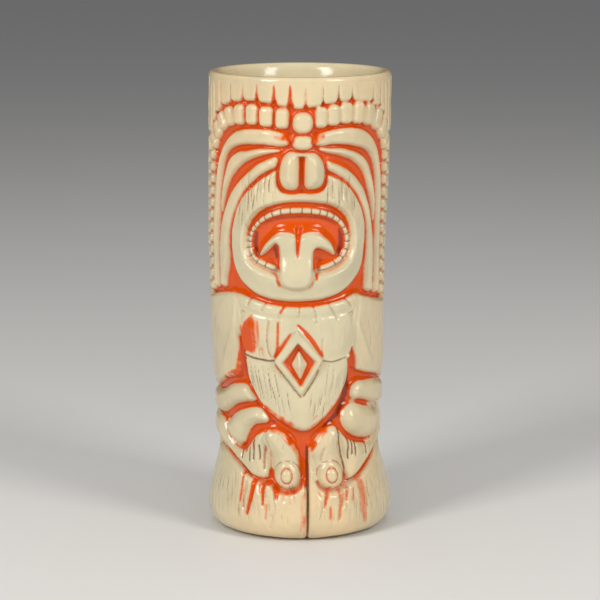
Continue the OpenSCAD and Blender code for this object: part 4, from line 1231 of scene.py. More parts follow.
@dataclass
class Figure:
    """The whole relief, and the stain that is rubbed into it."""

    crown: Crown = field(default_factory=Crown)
    brow: Brow = field(default_factory=Brow)
    arches: Arches = field(default_factory=Arches)
    face: Face = field(default_factory=Face)
    torso: Torso = field(default_factory=Torso)
    arms: Arms = field(default_factory=Arms)
    legs: Legs = field(default_factory=Legs)
    back: Back = field(default_factory=Back)
    chest_wash: Points = (
        (-42.6, 70), (-41, 74), (-38, 78.2), (-34, 80.4), (-30.4, 82.4), (-29, 80.6), (-25.4, 79.6),
        (-24, 76), (-24.6, 71.6), (-27.4, 68.4), (-31, 67), (-34.6, 67.6), (-38, 67.6), (-41, 67),
    )

    def carve(self, clay: Clay) -> None:
        """Carve every part, then soften the clay and rub the stain in."""
        for part in (self.crown, self.brow, self.arches, self.face, self.torso, self.arms,
                     self.legs, self.back):
            part.carve(clay)
        gap = -np.max(np.stack(list(clay.members.values())), axis=0)
        clay.height -= 0.45 * smooth_step(gap / 1.5) * (clay.height < 0.6)
        clay.height += 0.05 * clay.lumps(1.1) * smooth_step(clay.height
                                                            / 1.5) + 0.07 * clay.lumps(4.0)
        plain = smooth_step((clay.up - clay.top + 1.2) / 1.2)
        clay.height = clay.height * (1 - plain) + 2.3 * plain
        clay.height = clay.soften(clay.height, 0.26)
        self.rub(clay)

    def rub(self, clay: Clay) -> None:
        """Work out how much stain each place keeps: most in the grooves between members."""
        low = clay.soften(clay.height, 1.7) - clay.height
        cavity = smooth_step((low - 0.16) / 0.55)
        floor = smooth_step((1.0 - clay.height) / 0.7)
        groove = np.maximum(cavity * 0.9, floor)
        zone = np.ones(clay.x.shape)
        side = np.abs(clay.turn)
        zone *= 1 - 0.35 * smooth_step((side - 72) / 8)
        zone *= 1 - 0.35 * smooth_step((side - 100) / 20)
        zone *= 1 - 0.5 * smooth_step((clay.up - 158.5) / 1.5)
        zone *= 1 - 0.55 * smooth_step((24 - clay.up) / 4)
        zone *= 1 - 0.5 * smooth_step((2.5 - clay.up) / 2)
        clay.stain = np.maximum(clay.stain, groove * zone) * clay.wash
        loop = rounded(self.chest_wash, True)
        win = clay.window(loop[:, 0], loop[:, 1], 3)
        d = clay.inside(loop, win)
        fade = smooth_step((-27 - clay.turn[win]) / 9)
        streak = np.sin(clay.x[win] * 3.3 + 0.9
                        * np.sin(clay.up[win] * 0.5)) + 0.7 * np.sin(clay.x[win] * 7.9)
        cover = 0.5 + 0.5 * fade + 0.16 * (1 - 0.8 * fade) * streak
        clay.stain[win] = np.maximum(clay.stain[win], smooth_step((d + 0.5) / 1.8) * cover)
        patchy = np.clip(0.85 + 0.22 * clay.lumps(0.7), 0.3, 1.3)
        clay.stain = np.maximum(clay.stain, clay.haze * patchy)
        clay.stain = clay.soften(np.minimum(clay.stain, 1), 0.3)
        # Painted shade: the shade strokes push the stain past 1, into the glaze's dark red
        clay.stain = np.clip(clay.stain * (1 + 0.5 * clay.soften(clay.depth, 0.3)), 0, 1.5)
        clay.line = np.clip(clay.line, 0, 1)


# ---------------------------------------------------------------- meshes


@dataclass
class Cup:
    """The cup under the figure: its profile outside, its lip, its inside and its foot."""

    drops: Points = (
        (0, 5.0), (0.4, 3.9), (1.2, 2.5), (2.4, 1.1), (4, 0.2), (7, -0.45), (12, -0.1), (17, 0.9),
        (21, 1.9),
        (26, 3.2), (30, 3.8), (36, 2.9), (41, 2.6), (50, 2.6), (58, 2.0), (68, 1.6), (85, 1.1),
        (105, 0.7),
        (130, 0.2), (150, 0), (163.3, 0),
    )
    groove_depth: float = 2.3
    wall: float = 5.0
    floor: float = 5.0
    lip: Points = ((0, 163.9), (0.25, 164.4), (0.75, 164.85), (1.4, 165), (2.1, 165), (2.8, 164.85),
                   (3.4, 164.4),
                   (3.95, 163.5), (4.35, 162.2), (4.65, 160.6), (4.85, 158.6), (5.0, 156))
    bows: Points = ((0, 0), (14, 0), (22, -0.15), (37, -0.45), (50, -0.5), (60, -0.65), (72, -0.9),
                    (88, -1.0),
                    (100, -1.1), (118, -0.75), (133, -0.4), (150, -0.1), (158, 0), (165, 0))
    sags: Points = ((0, 0), (95, 0), (110, -0.3), (125, -0.5), (150, -0.65), (157, -0.4), (162, 0),
                    (165, 0))

    def radius(self, up: np.ndarray | float) -> np.ndarray:
        """The figure's envelope at a height, in millimetres."""
        p = np.array(self.drops)
        dense = np.array([(x, y) for x, y in rounded_profile(p)])
        return MOUTH_R - np.interp(up, dense[:, 0], dense[:, 1])

    def lean(self, co: np.ndarray) -> np.ndarray:
        """Let the wet cup bow a little to one side and settle.

        Args:
            co: places in metres, straight up and down.
        Returns:
            The same places, moved.
        """
        bows, sags = (rounded_profile(np.array(p)) for p in (self.bows, self.sags))
        out = co.copy()
        up = co[..., 2] / MM
        out[..., 0] += np.interp(up, *np.transpose(bows)) * MM
        out[..., 2] += np.interp(up,
                                 *np.transpose(sags)) * MM * (np.hypot(co[..., 0],
                                                                       co[..., 1]) > 0.028)
        return out

    def inner(self) -> np.ndarray:
        """Radius and height down the lip and the inside to the middle of the floor."""
        rows = [(MOUTH_R - a, MUG_H - 165 + b) for a, b in self.lip]
        for up in np.arange(152, 13, -4.0):
            rows.append((float(self.radius(up)) - self.wall, up))
        low = float(self.radius(12)) - self.wall
        rows += [(low, 11.5), (low - 0.6, 9), (low - 1.8, 7), (low - 3.4, 5.7), (low - 5.4, 5.1),
                 (low - 8, self.floor)]
        rows += [(low * s, self.floor) for s in (0.5, 0.3, 0.12)]
        return np.array(rows)

    def under(self, start: float) -> np.ndarray:
        """Radius and height from the foot's outer edge to the middle of its underside."""
        return np.array([(start - 0.5, 0), (start - 2.6, 0), (20.2, 0), (19.7, 0.3), (19.3, 1.0),
                         (18.4, 1.2),
                         (12, 1.2), (6, 1.2), (2.5, 1.2)])


def rounded_profile(p: np.ndarray) -> list[tuple[float, float]]:
    """A smooth line through a profile's points, as height and drop.

    Args:
        p: rows of height and drop.
    Returns:
        The dense rows.
    """
    out = []
    for i in range(len(p) - 1):
        a, b, c, d = p[max(i - 1, 0)], p[i], p[i + 1], p[min(i + 2, len(p) - 1)]
        ma = (c[1] - a[1]) / max(c[0] - a[0], 1e-6)
        mb = (d[1] - b[1]) / max(d[0] - b[0], 1e-6)
        h = c[0] - b[0]
        for k in range(8):
            t = k / 8
            out.append((b[0] + h * t,
                        (2 * t**3 - 3 * t**2 + 1) * b[1] + (t**3 - 2 * t**2 + t) * h * ma
                        + (-2 * t**3 + 3 * t**2) * c[1] + (t**3 - t**2) * h * mb))
    out.append((p[-1][0], p[-1][1]))
    return out


@dataclass
class Rolled:
    """The carved board once it is rolled round the cup: places, normals and cuts."""

    clay: Clay
    cup: Cup
    seat: float = 0.7
    tuck: float = 1.0
    least_dip: float = 0.12
    slide: float = 0.42
    mend_rounds: int = 6

    def __post_init__(self) -> None:
        """Cut the board into members, and work out where every point goes."""
        self.names = sorted(self.clay.members)
        phi = np.stack([self.clay.members[n] for n in self.names])
        phi[:, :, -1] = phi[:, :, 0]
        self.cells = self.labels(phi)
        self.shift_edges(phi)
        self.place()

    def labels(self, phi: np.ndarray) -> np.ndarray:
        """Which member each cell of the board belongs to.

        Args:
            phi: how far each point is inside each member.
        Returns:
            Indices into names, or -1 for the bare cup, for every cell.
        """
        cell = (phi[:, :-1, :-1] + phi[:, 1:, :-1] + phi[:, :-1, 1:] + phi[:, 1:, 1:]) / 4
        best = cell.argmax(0)
        label = np.where(np.take_along_axis(cell, best[None], 0)[0] > 0, best, -1)
        for _ in range(self.mend_rounds):
            label, moved = self.untouch(label)
            if not moved:
                break
        return label

    def untouch(self, label: np.ndarray) -> tuple[np.ndarray, int]:
        """Part cells of one member that meet only at a corner, and drop lone cells.

        Args:
            label: a member for every cell.
        Returns:
            The mended labels and how many cells changed.
        """
        out = label.copy()
        right = np.roll(label, -1, axis=1)
        left = np.roll(label, 1, axis=1)
        down = np.vstack([label[:1] * 0 - 2, label[:-1]])
        above = np.vstack([label[1:], label[:1] * 0 - 2])
        same = sum((n == label).astype(int) for n in (right, left, down, above))
        lone = (same <= 1) & (label >= 0)
        out[lone] = -1
        a, b = out[:-1], out[1:]
        ar, br = np.roll(a, -1, axis=1), np.roll(b, -1, axis=1)
        for first, second, x, y, target in ((a, br, ar, b, a), (ar, b, a, br, b)):
            bad = (first == second) & (x != first) & (y != first) & (first >= 0)
            target[bad] = -1
        bad = (a == -1) & (br == -1) & (ar >= 0) & (b >= 0)
        b[bad] = -1
        bad = (ar == -1) & (b == -1) & (a >= 0) & (br >= 0)
        a[bad] = -1
        return out, int((out != label).sum())

    def shift_edges(self, phi: np.ndarray) -> None:
        """Slide the points on the members' edges on to the true edge lines."""
        clay = self.clay
        label = self.cells
        wide = np.concatenate([label[:, -1:], label, label[:, :1]], axis=1)
        bare = np.full_like(wide[:1], -1)
        tall = np.vstack([bare, wide, bare])
        corners = np.stack([tall[:-1, :-1], tall[1:, :-1], tall[:-1, 1:], tall[1:, 1:]])
        self.edge = corners.min(0) != corners.max(0)
        first = corners.max(0)
        second = np.where(corners.min(0) == first, -1, corners.min(0))
        rows, cols = np.nonzero(self.edge & (first >= 0))
        ax, az = clay.x[0], clay.up[:, 0]
        value = np.zeros(clay.x.shape)
        gx = np.zeros(clay.x.shape)
        gz = np.zeros(clay.x.shape)
        for i in np.unique(first[rows, cols]):
            for j in np.unique(second[rows, cols]):
                pick = self.edge & (first == i) & (second == j)
                if not pick.any():
                    continue
                r, c = np.nonzero(pick)
                win = (slice(max(r.min() - 1, 0), r.max() + 2),
                       slice(max(c.min() - 1, 0), c.max() + 2))
                f = phi[i][win].astype(float)
                if j >= 0:
                    f = (f - phi[j][win]) / 2
                if min(f.shape) < 2:
                    continue
                dz, dx = np.gradient(f, az[win[0]], ax[win[1]])
                sub = pick[win]
                value[win][sub], gx[win][sub], gz[win][sub] = f[sub], dx[sub], dz[sub]
        size = np.maximum(gx**2 + gz**2, 0.05)
        move = value / size
        step_x = np.gradient(ax)[None, :] * self.slide
        step_z = clay.front_pitch * self.slide
        self.dx = np.clip(-move * gx, -step_x, step_x)
        self.dz = np.clip(-move * gz, -step_z, step_z)
        self.dz[0] = self.dz[-1] = 0
        self.dx[:, 0] = self.dx[:, -1] = 0
        self.dz[:, -1] = self.dz[:, 0]

    def sample(self, values: np.ndarray, x: np.ndarray, z: np.ndarray) -> np.ndarray:
        """Read a field of the board between its points.

        Args:
            values: values on the board.
            x: distances round.
            z: heights.
        Returns:
            The values there.
        """
        ax, az = self.clay.x[0], self.clay.up[:, 0]
        c = np.clip(np.searchsorted(ax, x) - 1, 0, len(ax) - 2)
        r = np.clip((z / (az[1] - az[0])).astype(int), 0, len(az) - 2)
        u = np.clip((x - ax[c]) / (ax[c + 1] - ax[c]), 0, 1)
        v = np.clip((z - az[r]) / (az[1] - az[0]), 0, 1)
        return ((values[r, c] * (1 - u) + values[r, c + 1] * u) * (1 - v)
                + (values[r + 1, c] * (1 - u) + values[r + 1, c + 1] * u) * v)

    def place(self) -> None:
        """Work out the outer surface, the seat below the members, and the normals."""
        clay, cup = self.clay, self.cup
        floor = cup.radius(clay.up) - cup.groove_depth
        skin = floor + clay.height
        angle = np.radians(clay.turn)
        pos = np.stack([skin * np.sin(angle), -skin * np.cos(angle), clay.up], axis=-1)
        du = np.gradient(pos, clay.x[0], axis=1)
        wrap = (pos[:, 1] - pos[:, -2]) / (clay.x[0, 1] - clay.x[0, 0] + clay.x[0, -1]
                                           - clay.x[0, -2])
        du[:, 0] = du[:, -1] = wrap
        dv = np.gradient(pos, clay.up[:, 0], axis=0)
        normal = np.cross(du, dv)
        normal /= np.linalg.norm(normal, axis=-1, keepdims=True)
        phi = np.stack([clay.members[n] for n in self.names])
        top2 = np.sort(phi, axis=0)[-2:]
        deep = np.minimum(top2[1], (top2[1] - top2[0]) / 2)
        dip = smooth_step(deep / self.tuck) * (clay.height + self.seat)
        dip = np.where(deep > 0, np.maximum(dip, self.least_dip), 0)
        x, z = clay.x + self.dx, clay.up + self.dz
        self.x, self.z = x, z
        self.skin = self.sample(skin, x, z)
        hidden = self.sample(dip, x, z)
        hidden = np.where(self.edge, 0, np.maximum(hidden, 0))
        self.base = self.skin - hidden
        self.normal = np.stack([self.sample(normal[..., k], x, z) for k in range(3)], axis=-1)
        self.stain = self.sample(clay.stain, x, z)
        self.line = self.sample(clay.line, x, z)
        for a in (self.skin, self.base, self.normal, self.stain, self.line):
            a[:, -1] = a[:, 0]

    def points(self, radius: np.ndarray) -> np.ndarray:
        """Places in metres for a radius at every point of the board."""
        angle = self.x / DEG * math.pi / 180
        return np.stack([radius * np.sin(angle), -radius * np.cos(angle), self.z], axis=-1) * MM

    def placed(self, radius: np.ndarray) -> np.ndarray:
        """The same places once the cup has settled."""
        return self.cup.lean(self.points(radius))


# ---------------------------------------------------------------- finishes


@dataclass(frozen=True)
class Glaze:
    """Cream glaze over stain that was wiped back: speckled, mottled and glossy."""

    cream: tuple[float, float, float] = (0.63, 0.555, 0.365)
    warm: tuple[float, float, float] = (0.74, 0.56, 0.33)
    grey: tuple[float, float, float] = (0.47, 0.44, 0.30)
    orange: tuple[float, float, float] = (0.66, 0.076, 0.0)
    # deep is painted shade: the near-black red that the stain turns to in the shaded hollows
    deep: tuple[float, float, float] = (0.17, 0.008, 0.0)
    thin: tuple[float, float, float] = (0.70, 0.29, 0.15)
    brown: tuple[float, float, float] = (0.13, 0.045, 0.014)
    roughness: float = 0.15
    coat: float = 0.15

    def material(self, name: str) -> bpy.types.Material:
        """Build the finish.

        Args:
            name: the material's name.
        Returns:
            The material.
        """
        mat = bpy.data.materials.new(name)
        mat.use_nodes = True
        tree = mat.node_tree
        tree.nodes.clear()
        kit = Nodes(tree)
        place = kit.add("ShaderNodeTexCoord").outputs["Object"]
        stain = kit.attribute("stain")
        line = kit.attribute("line")
        mottle = kit.noise(place, 55, 4, 0.55)
        cloud = kit.noise(place, 14, 3, 0.5)
        ragged = kit.noise(place, 900, 3, 0.6)
        grit = kit.noise(place, 2600, 2, 0.5)
        base = kit.mix(kit.ramp(cloud, 0.35, 0.68), self.cream, self.warm)
        base = kit.mix(kit.scale(kit.ramp(mottle, 0.42, 0.75), 0.5), base, self.grey)
        speck = kit.ramp(grit, 0.66, 0.74)
        base = kit.mix(kit.scale(speck, 0.22), base, self.brown)
        amount = kit.sum(stain, kit.scale(kit.sum(ragged, -0.5), 0.34))
        amount = kit.sum(amount, kit.scale(kit.sum(mottle, -0.5), 0.22))
        colour = kit.mix(kit.scale(kit.ramp(amount, 0.14, 0.44), 0.85), base, self.thin)
        colour = kit.mix(kit.ramp(amount, 0.34, 0.68), colour, self.orange)
        # Painted shade: stain above 1, raised only by the shade strokes in the hollows, turns to
        # the dark red
        colour = kit.mix(kit.scale(kit.ramp(amount, 1.0, 1.55), 0.85), colour, self.deep)
        fine = kit.sum(line, kit.scale(kit.sum(ragged, -0.5), 0.3))
        colour = kit.mix(kit.scale(kit.ramp(fine, 0.14, 0.62), 0.85), colour, self.brown)
        shader = kit.add("ShaderNodeBsdfPrincipled")
        tree.links.new(colour, shader.inputs["Base Color"])
        rough = kit.range(mottle, self.roughness * 0.8, self.roughness * 1.35)
        tree.links.new(rough, shader.inputs["Roughness"])
        shader.inputs["Coat Weight"].default_value = self.coat
        shader.inputs["Coat Roughness"].default_value = 0.06
        shader.inputs["IOR"].default_value = 1.48
        ripple = kit.sum(kit.scale(kit.noise(place, 320, 3, 0.5), 1.0), kit.scale(ragged, 0.25))
        bump = kit.add("ShaderNodeBump")
        bump.inputs["Strength"].default_value = 0.35
        bump.inputs["Distance"].default_value = 0.00022
        tree.links.new(ripple, bump.inputs["Height"])
        tree.links.new(bump.outputs["Normal"], shader.inputs["Normal"])
        out = kit.add("ShaderNodeOutputMaterial")
        tree.links.new(shader.outputs["BSDF"], out.inputs["Surface"])
        return mat


@dataclass(frozen=True)
class Bisque:
    """Bare fired clay, for the foot ring: pale, chalky and lightly soiled."""

    clay: tuple[float, float, float] = (0.60, 0.52, 0.40)
    soil: tuple[float, float, float] = (0.36, 0.29, 0.21)

    def material(self, name: str) -> bpy.types.Material:
        """Build the finish."""
        mat = bpy.data.materials.new(name)
        mat.use_nodes = True
        tree = mat.node_tree
        tree.nodes.clear()
        kit = Nodes(tree)
        place = kit.add("ShaderNodeTexCoord").outputs["Object"]
        grain = kit.noise(place, 1800, 4, 0.6)
        wear = kit.noise(place, 90, 4, 0.6)
        colour = kit.mix(kit.ramp(wear, 0.45, 0.75), self.clay, self.soil)
        colour = kit.mix(kit.scale(kit.ramp(grain, 0.5, 0.8), 0.3), colour, self.soil)
        shader = kit.add("ShaderNodeBsdfPrincipled")
        tree.links.new(colour, shader.inputs["Base Color"])
        tree.links.new(kit.range(grain, 0.75, 0.95), shader.inputs["Roughness"])
        bump = kit.add("ShaderNodeBump")
        bump.inputs["Strength"].default_value = 0.5
        bump.inputs["Distance"].default_value = 0.0001
        tree.links.new(grain, bump.inputs["Height"])
        tree.links.new(bump.outputs["Normal"], shader.inputs["Normal"])
        out = kit.add("ShaderNodeOutputMaterial")
        tree.links.new(shader.outputs["BSDF"], out.inputs["Surface"])
        return mat


@dataclass
class Nodes:
    """Short ways to add the nodes that the finishes share."""

    tree: bpy.types.NodeTree

    def add(self, kind: str) -> bpy.types.Node:
        """Add one node."""
        return self.tree.nodes.new(kind)

    def attribute(self, name: str) -> bpy.types.NodeSocket:
        """Read a value that is stored on the mesh."""
        node = self.add("ShaderNodeAttribute")
        node.attribute_name = name
        return node.outputs["Fac"]

    def noise(self, place: bpy.types.NodeSocket, size: float, detail: float,
              rough: float) -> bpy.types.NodeSocket:
        """Noise in three dimensions.

        Args:
            place: coordinates in metres.
            size: bumps to the metre.
            detail: octaves.
            rough: how strong each finer octave is.
        Returns:
            The noise, from 0 to 1.
        """
        node = self.add("ShaderNodeTexNoise")
        node.inputs["Scale"].default_value = size
        node.inputs["Detail"].default_value = detail
        node.inputs["Roughness"].default_value = rough
        self.tree.links.new(place, node.inputs["Vector"])
        return node.outputs["Fac"]

    def ramp(self, value: bpy.types.NodeSocket, low: float, high: float) -> bpy.types.NodeSocket:
        """Ease from 0 to 1 between two values."""
        node = self.add("ShaderNodeMapRange")
        node.interpolation_type = "SMOOTHSTEP"
        node.inputs["From Min"].default_value = low
        node.inputs["From Max"].default_value = high
        self.tree.links.new(value, node.inputs["Value"])
        return node.outputs["Result"]

    def range(self, value: bpy.types.NodeSocket, low: float, high: float) -> bpy.types.NodeSocket:
        """Turn 0..1 into a range."""
        node = self.add("ShaderNodeMapRange")
        node.inputs["To Min"].default_value = low
        node.inputs["To Max"].default_value = high
        self.tree.links.new(value, node.inputs["Value"])
        return node.outputs["Result"]

    def math(self, kind: str, a: bpy.types.NodeSocket,
             b: bpy.types.NodeSocket | float) -> bpy.types.NodeSocket:
        """One step of arithmetic on two values."""
        node = self.add("ShaderNodeMath")
        node.operation = kind
        self.tree.links.new(a, node.inputs[0])
        if isinstance(b, (int, float)):
            node.inputs[1].default_value = b
        else:
            self.tree.links.new(b, node.inputs[1])
        return node.outputs["Value"]

    def sum(self, a: bpy.types.NodeSocket, b: bpy.types.NodeSocket | float) -> bpy.types.NodeSocket:
        """Add two values."""
        return self.math("ADD", a, b)

    def scale(self, a: bpy.types.NodeSocket, b: float) -> bpy.types.NodeSocket:
        """Multiply a value."""
        return self.math("MULTIPLY", a, b)

    def mix(self, share: bpy.types.NodeSocket, a: object, b: object) -> bpy.types.NodeSocket:
        """Mix two colours, each a socket or three numbers."""
        node = self.add("ShaderNodeMix")
        node.data_type = "RGBA"
        self.tree.links.new(share, node.inputs["Factor"])
        for key, value in ((6, a), (7, b)):
            if isinstance(value, tuple):
                node.inputs[key].default_value = (*value, 1)
            else:
                self.tree.links.new(value, node.inputs[key])
        return node.outputs[2]


# ---------------------------------------------------------------- modelling


@dataclass
class Potter:
    """Turns the rolled clay into solid pieces, and dresses them."""

    rolled: Rolled
    cup: Cup
    glaze: bpy.types.Material
    bare: bpy.types.Material
    keep_hidden: float = 0.1
    keep_seat: float = 0.06
    bare_below: float = 0.0013
    bare_within: float = 0.0252

    @staticmethod
    def alone(obj: bpy.types.Object) -> None:
        """Select one object and make it the active one."""
        bpy.ops.object.select_all(action="DESELECT")
        obj.select_set(True)
        bpy.context.view_layer.objects.active = obj

    def sheet(self, name: str, radius: np.ndarray) -> bpy.types.Object:
        """Lay a flat grid and roll it round the cup.

        Args:
            name: the new object's name.
            radius: the radius of every point.
        Returns:
            The rolled sheet, still open along one upright seam.
        """
        rows, cols = radius.shape
        bpy.ops.object.select_all(action="DESELECT")
        bpy.ops.mesh.primitive_grid_add(x_subdivisions=cols - 1, y_subdivisions=rows - 1, size=2)
        obj = bpy.context.object
        obj.name = name
        me = obj.data
        me.vertices.foreach_set("co", self.rolled.placed(radius).astype(np.float32).ravel())
        store(me, "stain", self.rolled.stain)
        store(me, "line", self.rolled.line)
        store(me, "seat", self.rolled.base)
        store(me, "edge", self.rolled.edge)
        store(me, "facing", self.rolled.normal, kind="FLOAT_VECTOR")
        me.attributes.new("shown", "FLOAT", "FACE")
        me.update()
        return obj

    def cell_of_faces(self, me: bpy.types.Mesh) -> np.ndarray:
        """The member that each face of a fresh sheet belongs to."""
        cols = self.rolled.clay.x.shape[1]
        low = read(me.polygons, "vertices", 4, np.int32).min(1)
        return self.rolled.cells[low // cols, low % cols]

    def weld_seam(self, obj: bpy.types.Object) -> None:
        """Close the upright seam at the back."""
        self.alone(obj)
        me = obj.data
        cols = self.rolled.clay.x.shape[1]
        pick = np.zeros(len(me.vertices), bool)
        pick.reshape(-1, cols)[:, [0, -1]] = True
        bpy.ops.object.mode_set(mode="EDIT")
        bpy.ops.mesh.select_mode(type="VERT")
        bpy.ops.mesh.select_all(action="DESELECT")
        bpy.ops.object.mode_set(mode="OBJECT")
        me.vertices.foreach_set("select", pick)
        bpy.ops.object.mode_set(mode="EDIT")
        bpy.ops.mesh.remove_doubles(threshold=WELD)
        bpy.ops.object.mode_set(mode="OBJECT")

    def thin_out(self, obj: bpy.types.Object, hidden: np.ndarray, keep: float) -> None:
        """Thin the faces that never show.

        Args:
            obj: the piece.
            hidden: which of its vertices may go.
            keep: the share of the hidden faces that stay.
        """
        group = obj.vertex_groups.new(name="hidden")
        group.add([int(i) for i in np.nonzero(hidden)[0]], 1.0, "REPLACE")
        share = hidden.mean()
        mod = obj.modifiers.new("thin", "DECIMATE")
        mod.vertex_group = "hidden"
        mod.ratio = float(1 - share * (1 - keep))
        self.alone(obj)
        bpy.ops.object.modifier_apply(modifier="thin")
        obj.vertex_groups.clear()

    def members(self) -> dict[str, bpy.types.Object]:
        """Cut the carved sheet into the members, and back each one.

        Returns:
            The finished members by name.
        """
        skin = self.sheet("skin", self.rolled.skin)
        cell = self.cell_of_faces(skin.data)
        skin.data.attributes["shown"].data.foreach_set("value", np.ones(len(cell), np.float32))
        skin.data.polygons.foreach_set("material_index", (cell + 1).astype(np.int32))
        store(skin.data, "owner", cell, "FACE", "INT")
        self.weld_seam(skin)
        bpy.ops.object.mode_set(mode="EDIT")
        bpy.ops.mesh.select_mode(type="FACE")
        bpy.ops.mesh.separate(type="MATERIAL")
        bpy.ops.object.mode_set(mode="OBJECT")
        found = {}
        for obj in list(bpy.context.selected_objects):
            index = obj.data.attributes["owner"].data[0].value
            if index < 0:
                bpy.data.objects.remove(obj)
                continue
            name = self.rolled.names[index]
            obj.name = obj.data.name = name
            self.back(obj)
            found[name] = obj
        return found

    def back(self, obj: bpy.types.Object) -> None:
        """Close a member behind with a copy of its face, pressed on to the cup."""
        self.alone(obj)
        me = obj.data
        bpy.ops.object.mode_set(mode="EDIT")
        bpy.ops.mesh.select_mode(type="FACE")
        bpy.ops.mesh.select_all(action="SELECT")
        bpy.ops.mesh.duplicate()
        bpy.ops.mesh.flip_normals()
        bpy.ops.object.mode_set(mode="OBJECT")
        picked = read(me.polygons, "select", kind=bool)
        shown = np.where(picked, 0.0, 1.0).astype(np.float32)
        me.attributes["shown"].data.foreach_set("value", shown)
        lower = read(me.vertices, "select", kind=bool)
        co = read(me.vertices, "co", 3)
        seat = read(me.attributes["seat"].data, "value")
        edge = read(me.attributes["edge"].data, "value")
        bow = np.interp(co[:, 2] / MM, *np.transpose(rounded_profile(np.array(self.cup.bows)))) * MM
        co[:, 0] -= bow
        radius = np.hypot(co[:, 0], co[:, 1])
        move = lower & (edge < 0.5)
        co[move, :2] += co[move, :2] * ((seat[move] * MM - radius[move]) / radius[move])[:, None]
        co[:, 0] += bow
        me.vertices.foreach_set("co", co.ravel())
        me.update()
        bpy.ops.object.mode_set(mode="EDIT")
        bpy.ops.mesh.select_mode(type="VERT")
        bpy.ops.object.mode_set(mode="OBJECT")
        me.vertices.foreach_set("select", edge > 0.5)
        bpy.ops.object.mode_set(mode="EDIT")
        bpy.ops.mesh.remove_doubles(threshold=1e-7)
        bpy.ops.object.mode_set(mode="OBJECT")
        self.thin_out(obj, self.hidden_points(me), self.keep_hidden)

    @staticmethod
    def hidden_points(me: bpy.types.Mesh) -> np.ndarray:
        """The vertices that no shown face uses."""
        shown = read(me.attributes["shown"].data, "value")
        totals = read(me.polygons, "loop_total", kind=np.int32)
        corner = read(me.loops, "vertex_index", kind=np.int32)
        per_loop = np.repeat(shown, totals)
        hidden = np.ones(len(me.vertices), bool)
        hidden[corner[per_loop > 0.5]] = False
        return hidden

    def body(self) -> bpy.types.Object:
        """The cup: the seat under the members, the lip, the inside and the foot, in one solid."""
        outer = self.sheet("cup", self.rolled.base)
        cell = self.cell_of_faces(outer.data)
        outer.data.attributes["shown"].data.foreach_set("value", (cell < 0).astype(np.float32))
        self.weld_seam(outer)
        self.thin_out(outer, self.hidden_points(outer.data), self.keep_seat)
        top = self.lathe("lip", self.rolled.placed(self.rolled.base)[-1], self.cup.inner(), False)
        low = self.lathe("foot", self.rolled.placed(self.rolled.base)[0],
                         self.cup.under(float(self.rolled.base[0].mean())), True)
        self.alone(outer)
        top.select_set(True)
        low.select_set(True)
        bpy.ops.object.join()
        bpy.ops.object.mode_set(mode="EDIT")
        bpy.ops.mesh.select_all(action="SELECT")
        bpy.ops.mesh.remove_doubles(threshold=2e-6)
        bpy.ops.object.mode_set(mode="OBJECT")
        outer.name = outer.data.name = "glazed_cup"
        return outer

    def lathe(self, name: str, rim: np.ndarray, profile: np.ndarray,
              flip: bool) -> bpy.types.Object:
        """Carry an open rim on along a profile to the axis.

        Args:
            name: the new object's name.
            rim: the rim's points, with the first one again at the end.
            profile: radius and height of each further ring, in millimetres.
            flip: whether the faces are to be turned over.
        Returns:
            The surface from the rim to the axis.
        """
        ring = rim[:-1]
        turn = np.arctan2(ring[:, 0], -ring[:, 1])
        bpy.ops.object.select_all(action="DESELECT")
        bpy.ops.mesh.primitive_grid_add(x_subdivisions=len(ring), y_subdivisions=len(profile) + 1,
                                        size=2)
        obj = bpy.context.object
        obj.name = name
        me = obj.data
        closed = np.append(np.arange(len(ring)), 0)
        rows = [ring[closed]]
        for r, up in profile:
            rows.append(np.stack([r * np.sin(turn), -r * np.cos(turn), np.full(len(turn), up)],
                                 -1)[closed] * MM)
        rows.append(np.tile([0, 0, profile[-1][1] * MM], (len(closed), 1)))
        co = np.stack(rows)
        co[1:] = self.cup.lean(co[1:])
        bpy.ops.object.mode_set(mode="OBJECT")
        me.vertices.foreach_set("co", co.reshape(-1).astype(np.float32))
        me.update()
        bpy.ops.object.mode_set(mode="EDIT")
        bpy.ops.mesh.select_all(action="SELECT")
        bpy.ops.mesh.remove_doubles(threshold=WELD)
        if flip:
            bpy.ops.mesh.flip_normals()
        bpy.ops.object.mode_set(mode="OBJECT")
        return obj

    def finish(self, obj: bpy.types.Object, node: str) -> None:
        """Set a piece's shading, finish and place in the frame.

        Args:
            obj: the piece.
            node: the node that it stands for.
        """
        me = obj.data
        self.alone(obj)
        me.materials.clear()
        me.materials.append(self.glaze)
        me.polygons.foreach_set("material_index", np.zeros(len(me.polygons), np.int32))
        if node == "cup":
            me.materials.append(self.bare)
            mid = read(me.polygons, "center", 3)
            bare = (mid[:, 2] < self.bare_below) & (np.hypot(*mid[:, :2].T) < self.bare_within)
            me.polygons.foreach_set("material_index", bare.astype(np.int32))
        me.shade_smooth()
        self.set_normals(me)
        for key in ("seat", "edge", "facing", "shown", "owner"):
            if key in me.attributes:
                me.attributes.remove(me.attributes[key])
        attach(obj, "root")
        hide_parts(node)
        LOG.info("%s: %d faces", obj.name, len(me.polygons))

    @staticmethod
    def set_normals(me: bpy.types.Mesh) -> None:
        """Give the shown faces the carved surface's normals, so that no seam shows."""
        normals = read(me.corner_normals, "vector", 3)
        facing = read(me.attributes["facing"].data, "vector", 3)
        shown = read(me.attributes["shown"].data, "value")
        totals = read(me.polygons, "loop_total", kind=np.int32)
        corner = read(me.loops, "vertex_index", kind=np.int32)
        use = (np.repeat(shown, totals) > 0.5) & (np.linalg.norm(facing[corner], axis=1) > 0.5)
        hidden = np.repeat(read(me.polygons, "normal", 3), totals, axis=0)
        normals = np.where(use[:, None], facing[corner], normals)
        backs = (np.repeat(shown, totals) < 0.5) & (np.linalg.norm(facing[corner], axis=1) > 0.5)
        normals = np.where(backs[:, None], hidden, normals)
        normals /= np.maximum(np.linalg.norm(normals, axis=1, keepdims=True), 1e-9)
        me.normals_split_custom_set(normals.tolist())


# ---------------------------------------------------------------- studio


